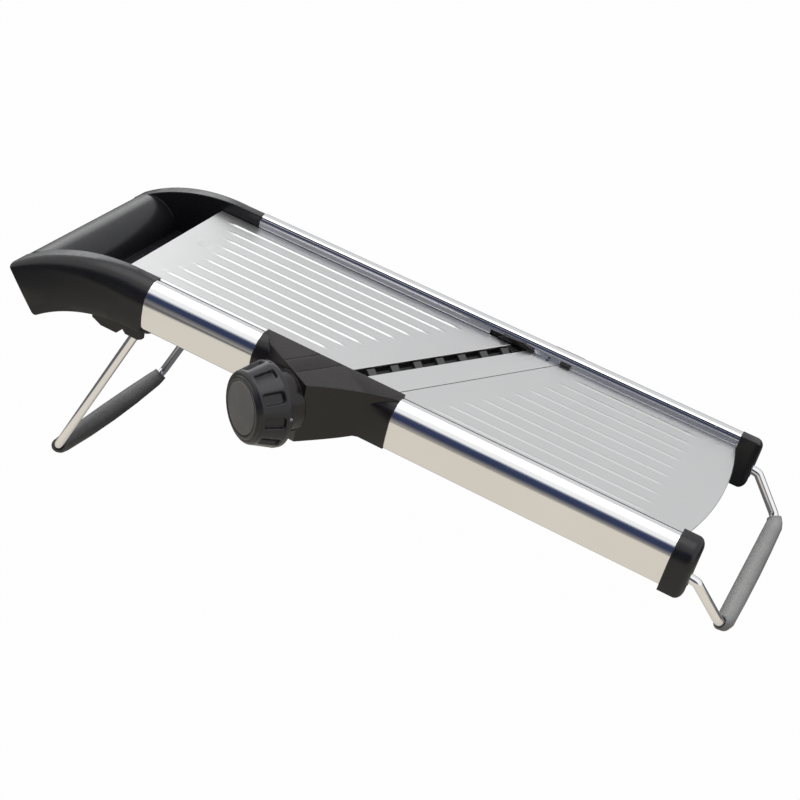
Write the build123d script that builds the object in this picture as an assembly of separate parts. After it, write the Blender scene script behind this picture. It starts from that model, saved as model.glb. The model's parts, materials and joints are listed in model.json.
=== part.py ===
from build123d import *
from math import asin, atan2, cos, degrees, hypot, pi, radians, sin, tan
import os

# Mandoline slicer, in millimetres.
#
# The board is drawn flat: +X runs down the board from the handle to the low
# end, +Y to the side away from the knob, +Z up, and Z = 0 is the top of the
# two rails. The last section tilts the whole machine on to its two legs.
# The "cut frame" lies in the board with +X along the blade's edge, from the
# knob to the far rail, +Y up the board and +Z up.

# ---- Driving dimensions -------------------------------------------------
rail_gap = 100.0             # clear width between the rails
rail_length = 296.0
rail_width = 13.5            # at the belly of the outer side
rail_height = 26.0
rail_flat = 4.5              # flat strip along the top, next to the inner face
rail_belly = 13.0            # depth at which a rail is widest
rail_foot = 12.6             # width at the bottom
rail_skin = 0.8              # steel sleeve
press_gap = 0.1              # core in sleeve, tenon in rail

plate_thick = 1.0
plate_side_gap = 0.6         # plate to rail
runway_depth = 6.9           # below the top of the rails
landing_depth = 6.1
runway_top_x = -25.0         # the runway starts inside the handle
landing_overhang = 6.5       # crest of the rounded low end, past the rails
landing_end_radius = 182.0

cut_angle = 59.3             # of the blade's edge from the board's length
slot_near_x = 109.9          # middle of the slot, where it leaves the near rail
slot_width = 8.4             # runway's edge to blade's edge, square to the cut
blade_width = 16.1
blade_thick = 1.0
blade_gap = 0.3              # running clearance round the blade
bevel_length = 2.4           # ground edge of the blade
blade_near_tongue = 2.4      # how far the blade's near end reaches into its side
blade_hole_radius = 1.0
blade_hole_reach = 7.1       # past the far rail's inner face, along the blade
blade_hole_inset = 14.9      # from the slot's middle, square to the cut

ridge_count = 10
ridge_pitch = 9.05
ridge_width = 3.3
ridge_height = 1.05
ridge_ramp = 2.6             # sloped end of a ridge
runway_ridge_start = -2.6    # at the middle of the board
runway_ridge_bow = 0.0075    # the starts lie on a parabola
ridge_to_slot = 18.5         # square to the cut
landing_ridge_gap = 14.0     # blade's back to the first ridge, square to the cut
landing_ridge_inset = 17.5   # a ridge's low end, short of the rails' ends

carrier_thick = 2.8          # frames under the plates
carrier_rim = 8.0
carrier_rib = 3.0
runway_ribs = (20.0, 55.0, 90.0, 125.0)
landing_rib_insets = (106.0, 74.0, 42.0)       # short of the rails' ends

handle_straight = 12.0       # the arm runs on straight before it bends
handle_radius = 120.0        # of the arm's top edge
handle_bend = 38.0           # degrees
handle_height = 28.0         # at the rail
handle_tip_height = 31.0     # at the far end
handle_tip_corner = 3.0      # the arm's rounded outer edge tightens to this
handle_tip_round = 2.5       # corners of the arm's end, from the side
grip_radius = 16.0
grip_back = 16.5             # grip's centre, in from the tip along X
grip_drop = 8.0              # and below the tip's top corner
web_thick = 4.0
web_depth = 33.0             # top of the web between grip and cross-beam

beam_depth = 18.0            # top of the handle's cross-beam

hinge_x = -12.0              # runway hinge
hinge_depth = 12.5
hinge_pin_radius = 1.6
hinge_pin_bury = 3.5         # pin inside the handle's arm
hinge_ear = 4.0

shaft_depth = 16.5           # knob's axis below the top of the rails
shaft_radius = 3.0
shaft_gap = 0.05
shaft_bury = 11.0            # into the far rail, along the shaft
bush_radius = 5.0
bush_length = 6.5

knob_turn_min = -20.0        # degrees of knob, runway flush with the blade
knob_turn_max = 100.0
runway_tilt_rate = 0.0113     # degrees of runway tilt per degree of knob
comb_rise = 0.035            # millimetres of lift per degree
cam_least = 3.5               # least reach of a runway cam
comb_cam_base = 4.4
cam_hub = 3.4
cam_width = 4.0
cam_steps = 10
cam_relief = 0.8             # carriers clear of the cams
cam_gap = 0.25               # follower to cam
runway_cam_inset = 6.0       # near cam to the rail, along the shaft
runway_cam_far_inset = 4.0   # far cam to its rail
comb_cam_inset = 6.0         # comb's cams, in from its ends
pad_width = 5.0              # runway's pads, on the cams
pad_reach = 1.5              # past the shaft's axis

comb_width = 5.6
comb_thick = 2.0
comb_start = 12.0            # comb's ends, from the rails along the shaft
comb_far_start = 7.3
tooth_count = 7
tooth_pitch = 14.4
tooth_width = 4.7
tooth_height = 2.75
comb_shift = 5.0             # comb's middle, towards the far rail

knob_radius = 22.1
knob_length = 16.8
knob_band = 2.6              # plain band at the knob's base
knob_round = 2.6             # rounded rim round the disc
knob_shoulder_radius = 18.8
knob_disc_radius = 13.6
knob_disc_thick = 1.6
knob_disc_gap = 0.1          # round the disc in its recess
knob_wall = 2.4
knob_hub_radius = 6.5
knob_flutes = 10
flute_first = 9.0            # degrees from upright, runway flush with the blade
flute_width = 6.4
flute_depth = 1.3
flute_corner = 1.4

housing_start_x = 66.0       # the housing parts the near rail's sleeve
housing_end_x = 146.0
housing_proud = 0.6          # over the rail
housing_face = 27.9          # face towards the knob, from the near rail along the shaft
housing_side = 12.0          # face's lower side, square from the shaft
housing_bottom = 36.0
housing_corner = 10.0
housing_sweep_middle = (120.0, -69.8)  # the swept side passes here
housing_sweep_inset = 7.0    # and ends this far in over the rail
collar_radius = 15.5
collar_length = 9.9          # housing's face to the knob's base
collar_gap = 1.2             # collar to knob

cap_length = 12.0
cap_proud = 0.6
cap_drop = 2.0               # cap's bottom below the rail's
cap_round = 4.0
cap_tenon = 14.0
cap_slot = 6.0               # for the wire

wire_radius = 2.5
wire_bend = 7.0
pivot_bend = 3.0
wire_fit = 0.05              # foot pads round the wires
pad_wrap = 50.0              # degrees of the wire's bend inside a foot pad
pad_lip = 0.7                # a pad's ends are slimmer by this
pad_drop = 0.55              # share of a pad's swelling that lies below the wire
pad_widen = 0.3              # swelling across, per swelling down
leg_gap = 0.4
rear_reach = 8.0             # length of a wire's bent end
front_reach = 5.0

rear_pivot_x = -5.5
rear_pivot_depth = 31.0
rear_leg_back = 44.0         # foot from pivot, up the board
rear_leg_drop = 106.5        # foot from pivot, square to the board
rear_outset = 3.0            # wire's middle, outside the rail's inner face
rear_foot_radius = 4.9
rear_foot_bow = 3.4          # the pad swells in its middle

front_pivot_reach = 5.0      # past the rails' ends
front_pivot_depth = 18.0
front_knee_reach = 15.5
front_knee_depth = 19.6
front_foot_reach = 34.3
front_foot_depth = 39.3
front_outset = 2.6           # at the foot, outside the rail's inner face
front_foot_radius = 4.5
front_foot_bow = 0.8

bracket_back = -33.0
bracket_cheek = 2.4          # outer cheek that hides the wire's knee
bracket_gap = 0.1            # to the handle that holds it

tab_thick = 2.6              # blade's pull tab, outside the far rail
tab_height = 8.0
tab_gap = 0.4

# ---- Worked-out values --------------------------------------------------
half_gap = rail_gap / 2
landing_end_x = rail_length + landing_overhang
landing_ridge_end = rail_length - landing_ridge_inset
landing_ribs = [rail_length - inset for inset in landing_rib_insets]
rear_half_width = half_gap + rear_outset
front_half_width = half_gap + front_outset
front_pivot_x = rail_length + front_pivot_reach
front_knee_x = rail_length + front_knee_reach
front_foot_x = rail_length + front_foot_reach
rail_axis = half_gap + rail_width * 0.46
slot_half = slot_width / 2
blade_back = slot_half + blade_width
cut_span = rail_gap / sin(radians(cut_angle))
rail_crossing = rail_width / sin(radians(cut_angle))
runway_under = runway_depth + plate_thick
landing_under = landing_depth + plate_thick
knob_base = housing_face + collar_length
knob_nose = knob_base + knob_length
comb_end = cut_span - comb_far_start
comb_cam_places = (comb_start + comb_cam_inset, comb_end - comb_cam_inset)
runway_cam_places = (runway_cam_inset, cut_span - runway_cam_far_inset)
rear_lean = atan2(rear_leg_back, rear_leg_drop)
front_lean = -atan2(front_foot_x - front_knee_x, front_foot_depth - front_knee_depth)
cam_margin = 3.0
cam_first = knob_turn_min - cam_margin
cam_last = knob_turn_max + cam_margin
comb_cam_reach = hypot(comb_cam_base + comb_rise * cam_last, degrees(comb_rise))
big = 400.0

cut_frame = Location((slot_near_x, -half_gap, 0), (0, 0, cut_angle))
shaft_frame = cut_frame * Location((0, 0, -shaft_depth))
near_side = Plane.XZ


# ---- Small tools --------------------------------------------------------
def block(x0, x1, y0, y1, z0, z1):
    """Box between two corners."""
    middle = Pos((x0 + x1) / 2, (y0 + y1) / 2, (z0 + z1) / 2)
    return middle * Box(abs(x1 - x0), abs(y1 - y0), abs(z1 - z0))


def cut_block(x0, x1, y0, y1, z0, z1):
    """Box between two corners of the cut frame."""
    return cut_frame * block(x0, x1, y0, y1, z0, z1)


def shaft_rod(radius, x0, x1):
    """Round bar on the knob's axis, from x0 to x1 along it."""
    return shaft_frame * Pos((x0 + x1) / 2, 0, 0) * Rot(0, 90, 0) * Cylinder(radius, x1 - x0)


def between_rails(gap):
    """Everything between the rails, less a gap at each side."""
    return block(-big, big, -half_gap + gap, half_gap - gap, -big, big)


def cross_prism(side, y0, y1):
    """Side view drawn in X and Z, carried across the board from y0 to y1."""
    plane = Plane(origin=(0, y0, 0), x_dir=(1, 0, 0), z_dir=(0, -1, 0))
    return extrude(plane * side, y1 - y0, dir=(0, 1, 0))


def cut_prism(section, x0, x1):
    """Section drawn in the cut frame's Y and Z, carried along the blade from x0 to x1."""
    plane = Plane(origin=(x0, 0, 0), x_dir=(0, 1, 0), z_dir=(1, 0, 0))
    return cut_frame * extrude(plane * section, x1 - x0, dir=(1, 0, 0))


def closed_face(points):
    """Flat face with straight sides."""
    return make_face(Polyline(*points, close=True))


# ---- Rails --------------------------------------------------------------
def rail_outline(height=rail_height, flat=rail_flat, belly=rail_belly):
    """Section of a rail: X outwards from its inner face, Y up."""
    shoulder = (flat + (rail_width - flat) * 0.68, -belly * 0.31)
    side = (rail_width - 0.1, -(belly + height) / 2)
    edges = [
        Line((0, 0), (flat, 0)),
        ThreePointArc((flat, 0), shoulder, (rail_width, -belly)),
        ThreePointArc((rail_width, -belly), side, (rail_foot, -height)),
        Line((rail_foot, -height), (0, -height)),
        Line((0, -height), (0, 0)),
    ]
    return make_face(edges)


def far_rail_plane(x):
    return Plane(origin=(x, half_gap, 0), x_dir=(0, 1, 0), z_dir=(1, 0, 0))


def rail_bar(x0, x1, grow=0.0, height=rail_height):
    """Length of solid rail section on the far side, grown or shrunk all round."""
    outline = rail_outline(height)
    if grow:
        outline = offset(outline, grow, kind=Kind.INTERSECTION)
    return extrude(far_rail_plane(x0) * outline, x1 - x0)


def rail_sleeve(x0, x1):
    inside = rail_bar(x0, x1, -rail_skin)
    return rail_bar(x0, x1) - inside


def to_near(shape):
    return mirror(shape, about=near_side)


def blade_passage(grow):
    """Room that the blade needs where it runs through a rail."""
    top = -landing_depth + grow
    bottom = -landing_depth - blade_thick - grow
    return cut_block(-blade_near_tongue / sin(radians(cut_angle)) * 2, big,
                     -blade_back - grow, -slot_half + grow, bottom, top)


def blade_tongue_room():
    """Recess in the near side for the blade's end."""
    reach = blade_near_tongue + blade_gap
    return blade_passage(blade_gap) & block(-big, big, -half_gap - reach, 0, -big, big)


def near_core():
    core = to_near(rail_bar(0, rail_length - cap_tenon, -rail_skin - press_gap))
    bush_start = -rail_crossing - 3
    core -= shaft_rod(bush_radius, bush_start, bush_start + bush_length)
    return core - blade_tongue_room() - shaft_rod(shaft_radius + 0.3, -60, 60)


def far_bush_bore():
    shaft_end = cut_span + shaft_bury
    return shaft_rod(bush_radius, shaft_end - bush_length, shaft_end)


def far_core():
    core = rail_bar(0, rail_length - cap_tenon, -rail_skin - press_gap)
    core -= shaft_rod(shaft_radius + 0.3, cut_span - 10, cut_span + shaft_bury + 0.5)
    return core - far_bush_bore() - blade_passage(blade_gap) - cam_reliefs()


def far_sleeve():
    sleeve = rail_sleeve(0, rail_length) - blade_passage(blade_gap) - cam_reliefs()
    return sleeve - shaft_rod(shaft_radius + 0.3, cut_span - 10, cut_span + 8) - far_bush_bore()


# ---- Handle -------------------------------------------------------------
tip_x = -handle_straight - handle_radius * sin(radians(handle_bend))
tip_z = -handle_radius * (1 - cos(radians(handle_bend)))
tip_bottom_x = tip_x + handle_tip_height * sin(radians(handle_bend))
tip_bottom_z = tip_z - handle_tip_height * cos(radians(handle_bend))


def arm_underside():
    """Hollow curve under the arm, from the rail to the tip."""
    middle = (tip_bottom_x * 0.58, -handle_height - (-tip_bottom_z - handle_height) * 0.27)
    return ThreePointArc((0, -handle_height), middle, (tip_bottom_x, tip_bottom_z))


def arm_section(share):
    """Section of the arm: the rail's at its root, square-shouldered at its tip."""
    flat = rail_flat + (rail_width - handle_tip_corner - rail_flat) * share
    belly = rail_belly + (handle_tip_corner - rail_belly) * share
    turn = radians(handle_bend * share)
    across = Plane(
        origin=(-handle_straight - handle_radius * sin(turn), half_gap,
                -handle_radius * (1 - cos(turn))),
        x_dir=(0, 1, 0), z_dir=(cos(turn), 0, sin(turn)))
    return across * rail_outline(handle_tip_height + 7, flat, belly)


def handle_arm():
    """Arm that bends down towards its tip while its shoulder grows square, on the far side."""
    root = extrude(far_rail_plane(0) * rail_outline(handle_tip_height + 7), -handle_straight)
    bend = loft([arm_section(share) for share in (0, 1 / 3, 2 / 3, 1)])
    slope = radians(handle_bend)
    above = (tip_x + 15 * cos(slope), tip_z + 15 * sin(slope))
    outline = make_face([
        Line((0, 10), (0, -handle_height)),
        arm_underside(),
        Line((tip_bottom_x, tip_bottom_z), (tip_x, tip_z)),
        Line((tip_x, tip_z), above),
        Line(above, (above[0], 10)),
        Line((above[0], 10), (0, 10)),
    ])
    tip_corners = [v for v in outline.vertices() if v.X < tip_bottom_x + 0.1]
    side = fillet(tip_corners, handle_tip_round)
    return (root + bend) & cross_prism(side, half_gap - 1, half_gap + rail_width + 1)


def grip():
    """Rolled grip, thin web and cross-beam, drawn from the side."""
    centre_x = tip_x + grip_back
    centre_z = tip_z - grip_drop
    inner_x = centre_x + grip_radius
    crown = (centre_x - 2, centre_z + grip_radius - 0.3)
    front = (tip_x + 0.4, tip_z - 1.6)
    web_bottom = -web_depth - web_thick
    beam_x = runway_top_x + 1
    edges = [
        ThreePointArc(front, crown, (inner_x, centre_z)),
        Line((inner_x, centre_z), (inner_x + 1, -web_depth)),
        Line((inner_x + 1, -web_depth), (beam_x - 5, -web_depth)),
        Line((beam_x - 5, -web_depth), (beam_x, -beam_depth)),
        Line((beam_x, -beam_depth), (0, -beam_depth)),
        Line((0, -beam_depth), (0, -handle_height)),
        ThreePointArc((0, -handle_height), (runway_top_x, web_bottom + 1.5),
                      (inner_x, web_bottom)),
        ThreePointArc((inner_x, web_bottom), (inner_x - 8, tip_bottom_z + 6),
                      (tip_bottom_x - 1, tip_bottom_z + 1)),
        Line((tip_bottom_x - 1, tip_bottom_z + 1), front),
    ]
    return cross_prism(make_face(edges), -half_gap, half_gap)


def bracket_side():
    """Outline of the rear leg's bracket, and of the handle's cheeks beside it."""
    pivot_bottom = -rear_pivot_depth - wire_radius - 3.2
    lug_bottom = pivot_bottom - 2.0
    return closed_face([
        (-1, -handle_height + 3), (-1, pivot_bottom + 1.5), (-3.5, pivot_bottom),
        (-11.5, pivot_bottom), (-13.5, pivot_bottom + 2), (-17, lug_bottom), (-27, lug_bottom),
        (bracket_back, -web_depth - 3), (bracket_back, -handle_height + 3),
    ])


def cheek():
    """Thin wall under the arm, outside the wire's knee."""
    inner = rear_half_width + wire_radius + leg_gap
    return cross_prism(bracket_side(), inner, inner + bracket_cheek)


def rear_pivot_bores():
    """Room for the bent ends of the rear leg's wire."""
    inner = rear_half_width - rear_reach - 2
    outer = half_gap + 1
    bore = Pos(rear_pivot_x, (inner + outer) / 2, -rear_pivot_depth) * Rot(90, 0, 0) * Cylinder(
        wire_radius + shaft_gap, outer - inner)
    return [bore, to_near(bore)]


def handle():
    arm = handle_arm() + cheek()
    body = arm + to_near(arm) + grip()
    for side in (-1, 1):
        bore = Pos(hinge_x, side * half_gap, -hinge_depth) * Rot(90, 0, 0)
        body -= bore * Cylinder(hinge_pin_radius, 2 * hinge_pin_bury)
    return body - rear_pivot_bores()


def rear_leg_bracket():
    body = cross_prism(bracket_side(), -half_gap + bracket_gap, half_gap - bracket_gap)
    body -= handle_solid + Pos(0, 0, -bracket_gap) * handle_solid
    under_web = body.solids().sort_by(Axis.Z)[0]
    return under_web - rear_pivot_bores()


# ---- Runway -------------------------------------------------------------
def plate_blank(x0, x1, depth, gap):
    return block(x0, x1, -half_gap + gap, half_gap - gap, -depth - plate_thick, -depth)


def ridge(x0, x1, y, depth):
    """Long low rib with a rounded back and sloped ends, standing on a plate."""
    back_radius = (ridge_width ** 2 / 4 + ridge_height ** 2) / (2 * ridge_height)
    bar = Pos((x0 + x1) / 2, y, ridge_height - back_radius - depth) * Rot(0, 90, 0) * Cylinder(
        back_radius, x1 - x0)
    sink = plate_thick / 3
    side = closed_face([(x0, -depth - sink), (x0, -depth), (x0 + ridge_ramp, -depth + ridge_height),
                        (x1 - ridge_ramp, -depth + ridge_height), (x1, -depth),
                        (x1, -depth - sink)])
    return bar & cross_prism(side, y - ridge_width, y + ridge_width)


def ridge_lines():
    """Y of each ridge."""
    middle = (ridge_count - 1) / 2
    return [(i - middle) * ridge_pitch for i in range(ridge_count)]


def slot_line_x(y, offset):
    """X at a given Y on a line beside the slot's middle, offset square to it, down the board."""
    slant = radians(cut_angle)
    return slot_near_x + (y + half_gap) / sin(slant) * cos(slant) + offset / sin(slant)


def runway_plate():
    plate = plate_blank(runway_top_x, big, runway_depth, plate_side_gap)
    plate -= cut_block(-big, 2 * big, -2 * big, slot_half, -big, big)
    ridges = []
    for y in ridge_lines():
        start = runway_ridge_start - runway_ridge_bow * y ** 2
        end = slot_line_x(y, -slot_half - ridge_to_slot)
        ridges.append(ridge(start, end, y, runway_depth))
    return plate + ridges


def ribbed(outer, inner, rib_xs):
    """Flat frame: the outer slab with the inner slab taken out between its ribs."""
    ribs = [block(x - carrier_rib / 2, x + carrier_rib / 2, -big, big, -big, big) for x in rib_xs]
    ribs.append(block(-big, big, -carrier_rib / 2, carrier_rib / 2, -big, big))
    return outer - (inner - ribs)


def runway_cam_rise(x):
    """Drop of the runway per degree of knob, above a cam at x along the shaft."""
    lever = slot_near_x + x * cos(radians(cut_angle)) - hinge_x
    return radians(runway_tilt_rate) * lever


def runway_cam_base(x):
    """Reach of a runway cam with the knob at zero: it shrinks as the knob turns up."""
    return cam_least + runway_cam_rise(x) * cam_last


def cam_reliefs():
    """Room for the turning cams, on the knob's axis."""
    places = [(x, comb_cam_reach) for x in comb_cam_places]
    for x in runway_cam_places:
        longest = runway_cam_base(x) - runway_cam_rise(x) * cam_first
        places.append((x, hypot(longest, degrees(runway_cam_rise(x)))))
    half_width = cam_width / 2 + 1
    return [shaft_rod(reach + cam_relief, x - half_width, x + half_width) for x, reach in places]


def runway_carrier():
    top = -runway_under
    bottom = top - carrier_thick
    side = half_gap - plate_side_gap
    edge = slot_half + 0.6
    start = runway_top_x + 2
    outer = block(start, big, -side, side, bottom, top)
    outer -= cut_block(-big, 2 * big, -2 * big, edge, -big, big)
    inner = block(start + carrier_rim, big, -side + carrier_rim, side - carrier_rim,
                  bottom - 1, top + 1)
    inner -= cut_block(-big, 2 * big, -2 * big, edge + 1.6 * carrier_rim, -big, big)
    ear = block(hinge_x - 5, hinge_x + 5, side - hinge_ear, side, -hinge_depth - 4, top)
    body = ribbed(outer, inner, runway_ribs) + ear + to_near(ear)
    body -= Pos(hinge_x, 0, -hinge_depth) * Rot(90, 0, 0) * Cylinder(
        hinge_pin_radius + shaft_gap, 3 * half_gap)
    return body - cam_reliefs() + cam_pads()


def cam_pads():
    """Pads under the runway's lower edge, which rest on the two runway cams."""
    pads = []
    for x in runway_cam_places:
        underside = -shaft_depth + runway_cam_base(x) + cam_gap
        pads.append(cut_block(x - pad_width / 2, x + pad_width / 2, -pad_reach, 2 * slot_half,
                              underside, -runway_under))
    return [pad & between_rails(plate_side_gap) for pad in pads]


def runway_hinge_pins():
    inner = half_gap - plate_side_gap - hinge_ear
    outer = half_gap + hinge_pin_bury
    pin = Pos(hinge_x, (inner + outer) / 2, -hinge_depth) * Rot(90, 0, 0) * Cylinder(
        hinge_pin_radius, outer - inner)
    return Compound([pin, to_near(pin)])


# ---- Landing side -------------------------------------------------------
def landing_plate():
    plate = plate_blank(0, landing_end_x, landing_depth, 0.0)
    plate -= cut_block(-big, 2 * big, -blade_back - blade_gap, big, -big, big)
    plate &= Pos(landing_end_x - landing_end_radius, 0, 0) * Cylinder(landing_end_radius, big)
    ridges = []
    for y in ridge_lines():
        start = slot_line_x(y, blade_back + landing_ridge_gap)
        ridges.append(ridge(start, landing_ridge_end, y, landing_depth))
    return plate + ridges


def landing_carrier():
    top = -landing_under
    bottom = top - carrier_thick
    edge = -slot_half - 1.6
    end_x = rail_length - 8
    outer = block(0, end_x, -half_gap, half_gap, bottom, top)
    outer -= cut_block(-big, 2 * big, edge, big, -big, big)
    inner = block(0, end_x - carrier_rim, -half_gap + carrier_rim, half_gap - carrier_rim,
                  bottom - 1, top + 1)
    inner -= cut_block(-big, 2 * big, -blade_back - carrier_rim, big, -big, big)
    body = ribbed(outer, inner, landing_ribs)
    body -= cut_block(-big, big, -blade_back - blade_gap, big, top - blade_gap, big)
    return body - cam_reliefs()


def far_blade_guide():
    """Lip on the far rail that holds the blade down, and a small stop behind it."""
    bottom = -landing_depth + blade_gap
    start = slot_line_x(half_gap, -slot_half - 8)
    end = slot_line_x(half_gap, slot_half + 2)
    side = closed_face([(start, bottom), (start + 4, bottom + 2.4), (end - 6, bottom + 3.2),
                        (end, bottom + 1.6), (end, bottom)])
    lip = cross_prism(side, half_gap - 1.6, half_gap)
    stop_x = slot_line_x(half_gap, blade_back)
    stop = block(stop_x, stop_x + 6, half_gap - 1.6, half_gap, bottom, bottom + 1.4)
    return Compound([lip, stop])


# ---- Blade --------------------------------------------------------------
def blade():
    underside = -landing_depth - blade_thick
    tab_middle = half_gap + rail_width + tab_gap + tab_thick / 2
    strip = cut_block(-big, big, -blade_back, -slot_half, underside, -landing_depth)
    ends = block(-big, big, -half_gap - blade_near_tongue, tab_middle, -big, big)
    edge_z = -landing_depth - 0.12
    bevel = closed_face([(-slot_half + 1, edge_z), (-slot_half + 1, underside - 1),
                         (-slot_half - bevel_length, underside), (-slot_half, edge_z)])
    hole_place = Pos(cut_span + blade_hole_reach, -blade_hole_inset, -landing_depth)
    hole = cut_frame * hole_place * Cylinder(blade_hole_radius, 4)
    return (strip & ends) - cut_prism(bevel, -big, big) - hole


def blade_tab():
    inner = half_gap + rail_width + tab_gap
    top = -landing_depth
    slab = cut_block(-big, big, -blade_back + 0.4, -slot_half - 0.4, top - tab_height, top)
    slab &= block(-big, big, inner, inner + tab_thick, -big, big)
    return fillet(slab.edges().filter_by(Axis.Z), tab_thick / 4) - blade_solid


# ---- Knob, shaft, cams and comb ----------------------------------------
def cam_outline(base, rise):
    """Involute cam, whose flat follower above it rises steadily with the knob's angle.

    Each point lies at the follower's distance along the normal, which turns with
    the knob, plus the rise per radian across it.
    """
    growth = degrees(rise)
    points = []
    for i in range(cam_steps + 1):
        turn = cam_first + (cam_last - cam_first) * i / cam_steps
        reach = base + rise * turn
        way = radians(90 + turn)
        points.append((reach * cos(way) - growth * sin(way), reach * sin(way) + growth * cos(way)))
    sector = make_face([Spline(*points), Line(points[-1], (0, 0)), Line((0, 0), points[0])])
    return sector + Circle(cam_hub)


def cam_disc(outline, middle):
    disc = Pos(0, 0, -shaft_depth) * cut_prism(outline, middle - cam_width / 2, middle + cam_width / 2)
    return disc - shaft_rod(shaft_radius + shaft_gap, middle - cam_width, middle + cam_width)


def comb_cams():
    outline = cam_outline(comb_cam_base, comb_rise)
    return Compound([cam_disc(outline, x) for x in comb_cam_places])


def runway_cams():
    discs = []
    for x in runway_cam_places:
        outline = cam_outline(runway_cam_base(x), -runway_cam_rise(x))
        discs.append(cam_disc(outline, x))
    return Compound(discs)


def knob_shaft():
    return shaft_rod(shaft_radius, -knob_nose + 4, cut_span + shaft_bury - 0.4)


def shaft_bushes():
    near_start = -rail_crossing - 3
    far_start = cut_span + shaft_bury - bush_length
    bushes = []
    for start in (near_start, far_start):
        ring = shaft_rod(bush_radius, start, start + bush_length)
        bushes.append(ring - shaft_rod(shaft_radius + shaft_gap, start - 1, start + bush_length + 1))
    return Compound(bushes)


def comb_bar():
    bottom = -shaft_depth + comb_cam_base + cam_gap
    return cut_block(comb_start, comb_end, -comb_width / 2, comb_width / 2, bottom,
                     bottom + comb_thick)


def comb_teeth():
    """Cutting teeth on the bar: upright on the runway's side, sloped to the blade's."""
    root = -shaft_depth + comb_cam_base + cam_gap + comb_thick
    half = comb_width / 2 - 0.2
    outline = closed_face([(half, root), (half, root + tooth_height),
                           (half - 0.8, root + tooth_height), (-half, root + 0.5), (-half, root)])
    teeth = []
    for i in range(tooth_count):
        x = cut_span / 2 + comb_shift + (i - (tooth_count - 1) / 2) * tooth_pitch
        teeth.append(cut_prism(outline, x - tooth_width / 2, x + tooth_width / 2))
    return Compound(teeth)


def knob_body():
    """Skirted knob with a plain band, a tapered grooved side and a hollow back."""
    shoulder = knob_nose - knob_round
    taper_start = knob_base + knob_band
    outer = [
        Line((-knob_base, 0), (-knob_base, knob_radius)),
        Line((-knob_base, knob_radius), (-taper_start, knob_radius)),
        Line((-taper_start, knob_radius), (-shoulder, knob_shoulder_radius)),
        ThreePointArc((-shoulder, knob_shoulder_radius),
                      (-knob_nose + 0.9, knob_shoulder_radius - 1.6),
                      (-knob_nose, knob_disc_radius + 1.4)),
        Line((-knob_nose, knob_disc_radius + 1.4), (-knob_nose, 0)),
        Line((-knob_nose, 0), (-knob_base, 0)),
    ]
    body = revolve(make_face(outer), Axis.X)
    hollow = closed_face([
        (-knob_base + 1, knob_hub_radius), (-knob_base + 1, knob_radius - knob_wall),
        (-taper_start, knob_radius - knob_wall), (-shoulder + 1, knob_shoulder_radius - knob_wall),
        (-shoulder + 1, knob_hub_radius)])
    body -= revolve(hollow, Axis.X)
    body -= Pos(-knob_nose, 0, 0) * Rot(0, 90, 0) * Cylinder(knob_disc_radius, 2 * knob_disc_thick)
    lean = degrees(atan2(knob_radius - knob_shoulder_radius, shoulder - taper_start))
    middle_x = -(taper_start + shoulder) / 2
    middle_r = (knob_radius + knob_shoulder_radius) / 2
    groove = Box(shoulder - taper_start - 0.8, flute_width, 2 * flute_depth)
    groove = fillet(groove.edges().filter_by(Axis.Z), flute_corner)
    for i in range(knob_flutes):
        turn = Rot(flute_first + i * 360 / knob_flutes, 0, 0)
        body -= turn * Pos(middle_x, 0, middle_r) * Rot(0, -lean, 0) * groove
    bore = shaft_rod(shaft_radius + shaft_gap, -knob_nose + 4, -knob_base + 1)
    return shaft_frame * body - bore


def knob_disc():
    return shaft_rod(knob_disc_radius - knob_disc_gap, -knob_nose - 0.2,
                     -knob_nose + knob_disc_thick)


def knob_housing():
    """Collar round the near rail, with a wedge that carries the knob."""
    top = housing_proud
    collar = to_near(rail_bar(housing_start_x, housing_end_x, housing_proud,
                              rail_height - housing_proud))
    collar &= block(-big, big, -big, -half_gap, -big, big)
    low_corner = (cut_frame * Location((-housing_face, -housing_side, 0))).position
    high_corner = (cut_frame * Location((-housing_face, housing_side * 2.1, 0))).position
    inside_y = -half_gap - 1
    sweep_end = (housing_end_x, -half_gap - housing_sweep_inset)
    plan = make_face([
        Line((low_corner.X, low_corner.Y), (high_corner.X, high_corner.Y)),
        Line((high_corner.X, high_corner.Y), (housing_start_x, inside_y)),
        Line((housing_start_x, inside_y), (housing_end_x, inside_y)),
        Line((housing_end_x, inside_y), sweep_end),
        ThreePointArc(sweep_end, housing_sweep_middle, (low_corner.X, low_corner.Y)),
    ])
    wedge = Pos(0, 0, -housing_bottom) * extrude(plan, housing_bottom + top, dir=(0, 0, 1))
    rail_bottom = -rail_height
    end_view = make_face([
        Line((40, 10), (40, rail_bottom)),
        Line((40, rail_bottom), (16, rail_bottom)),
        ThreePointArc((16, rail_bottom), (9, -housing_bottom + 2), (0, -housing_bottom)),
        Line((0, -housing_bottom), (-housing_side + 7, -housing_bottom)),
        ThreePointArc((-housing_side + 7, -housing_bottom),
                      (-housing_side - 2, -housing_bottom + 3.5), (-24, rail_bottom)),
        Line((-24, rail_bottom), (-44, rail_bottom)),
        Line((-44, rail_bottom), (-44, 10)),
        Line((-44, 10), (40, 10)),
    ])
    wedge &= cut_prism(end_view, -60, 60)
    body = collar + wedge
    body += shaft_rod(collar_radius, -knob_base + collar_gap, -housing_face + 1)
    body -= to_near(rail_bar(housing_start_x - 1, housing_end_x + 1, -rail_skin))
    for y in (10.7, -0.4):
        body -= cut_block(-housing_face - 1, 0, y - 0.25, y + 0.25, top - 0.4, top + 1)
    body -= blade_tongue_room()
    bush_start = -rail_crossing - 3
    body -= shaft_rod(bush_radius, bush_start, bush_start + bush_length)
    return body - shaft_rod(shaft_radius + 0.3, -60, 10)


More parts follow.
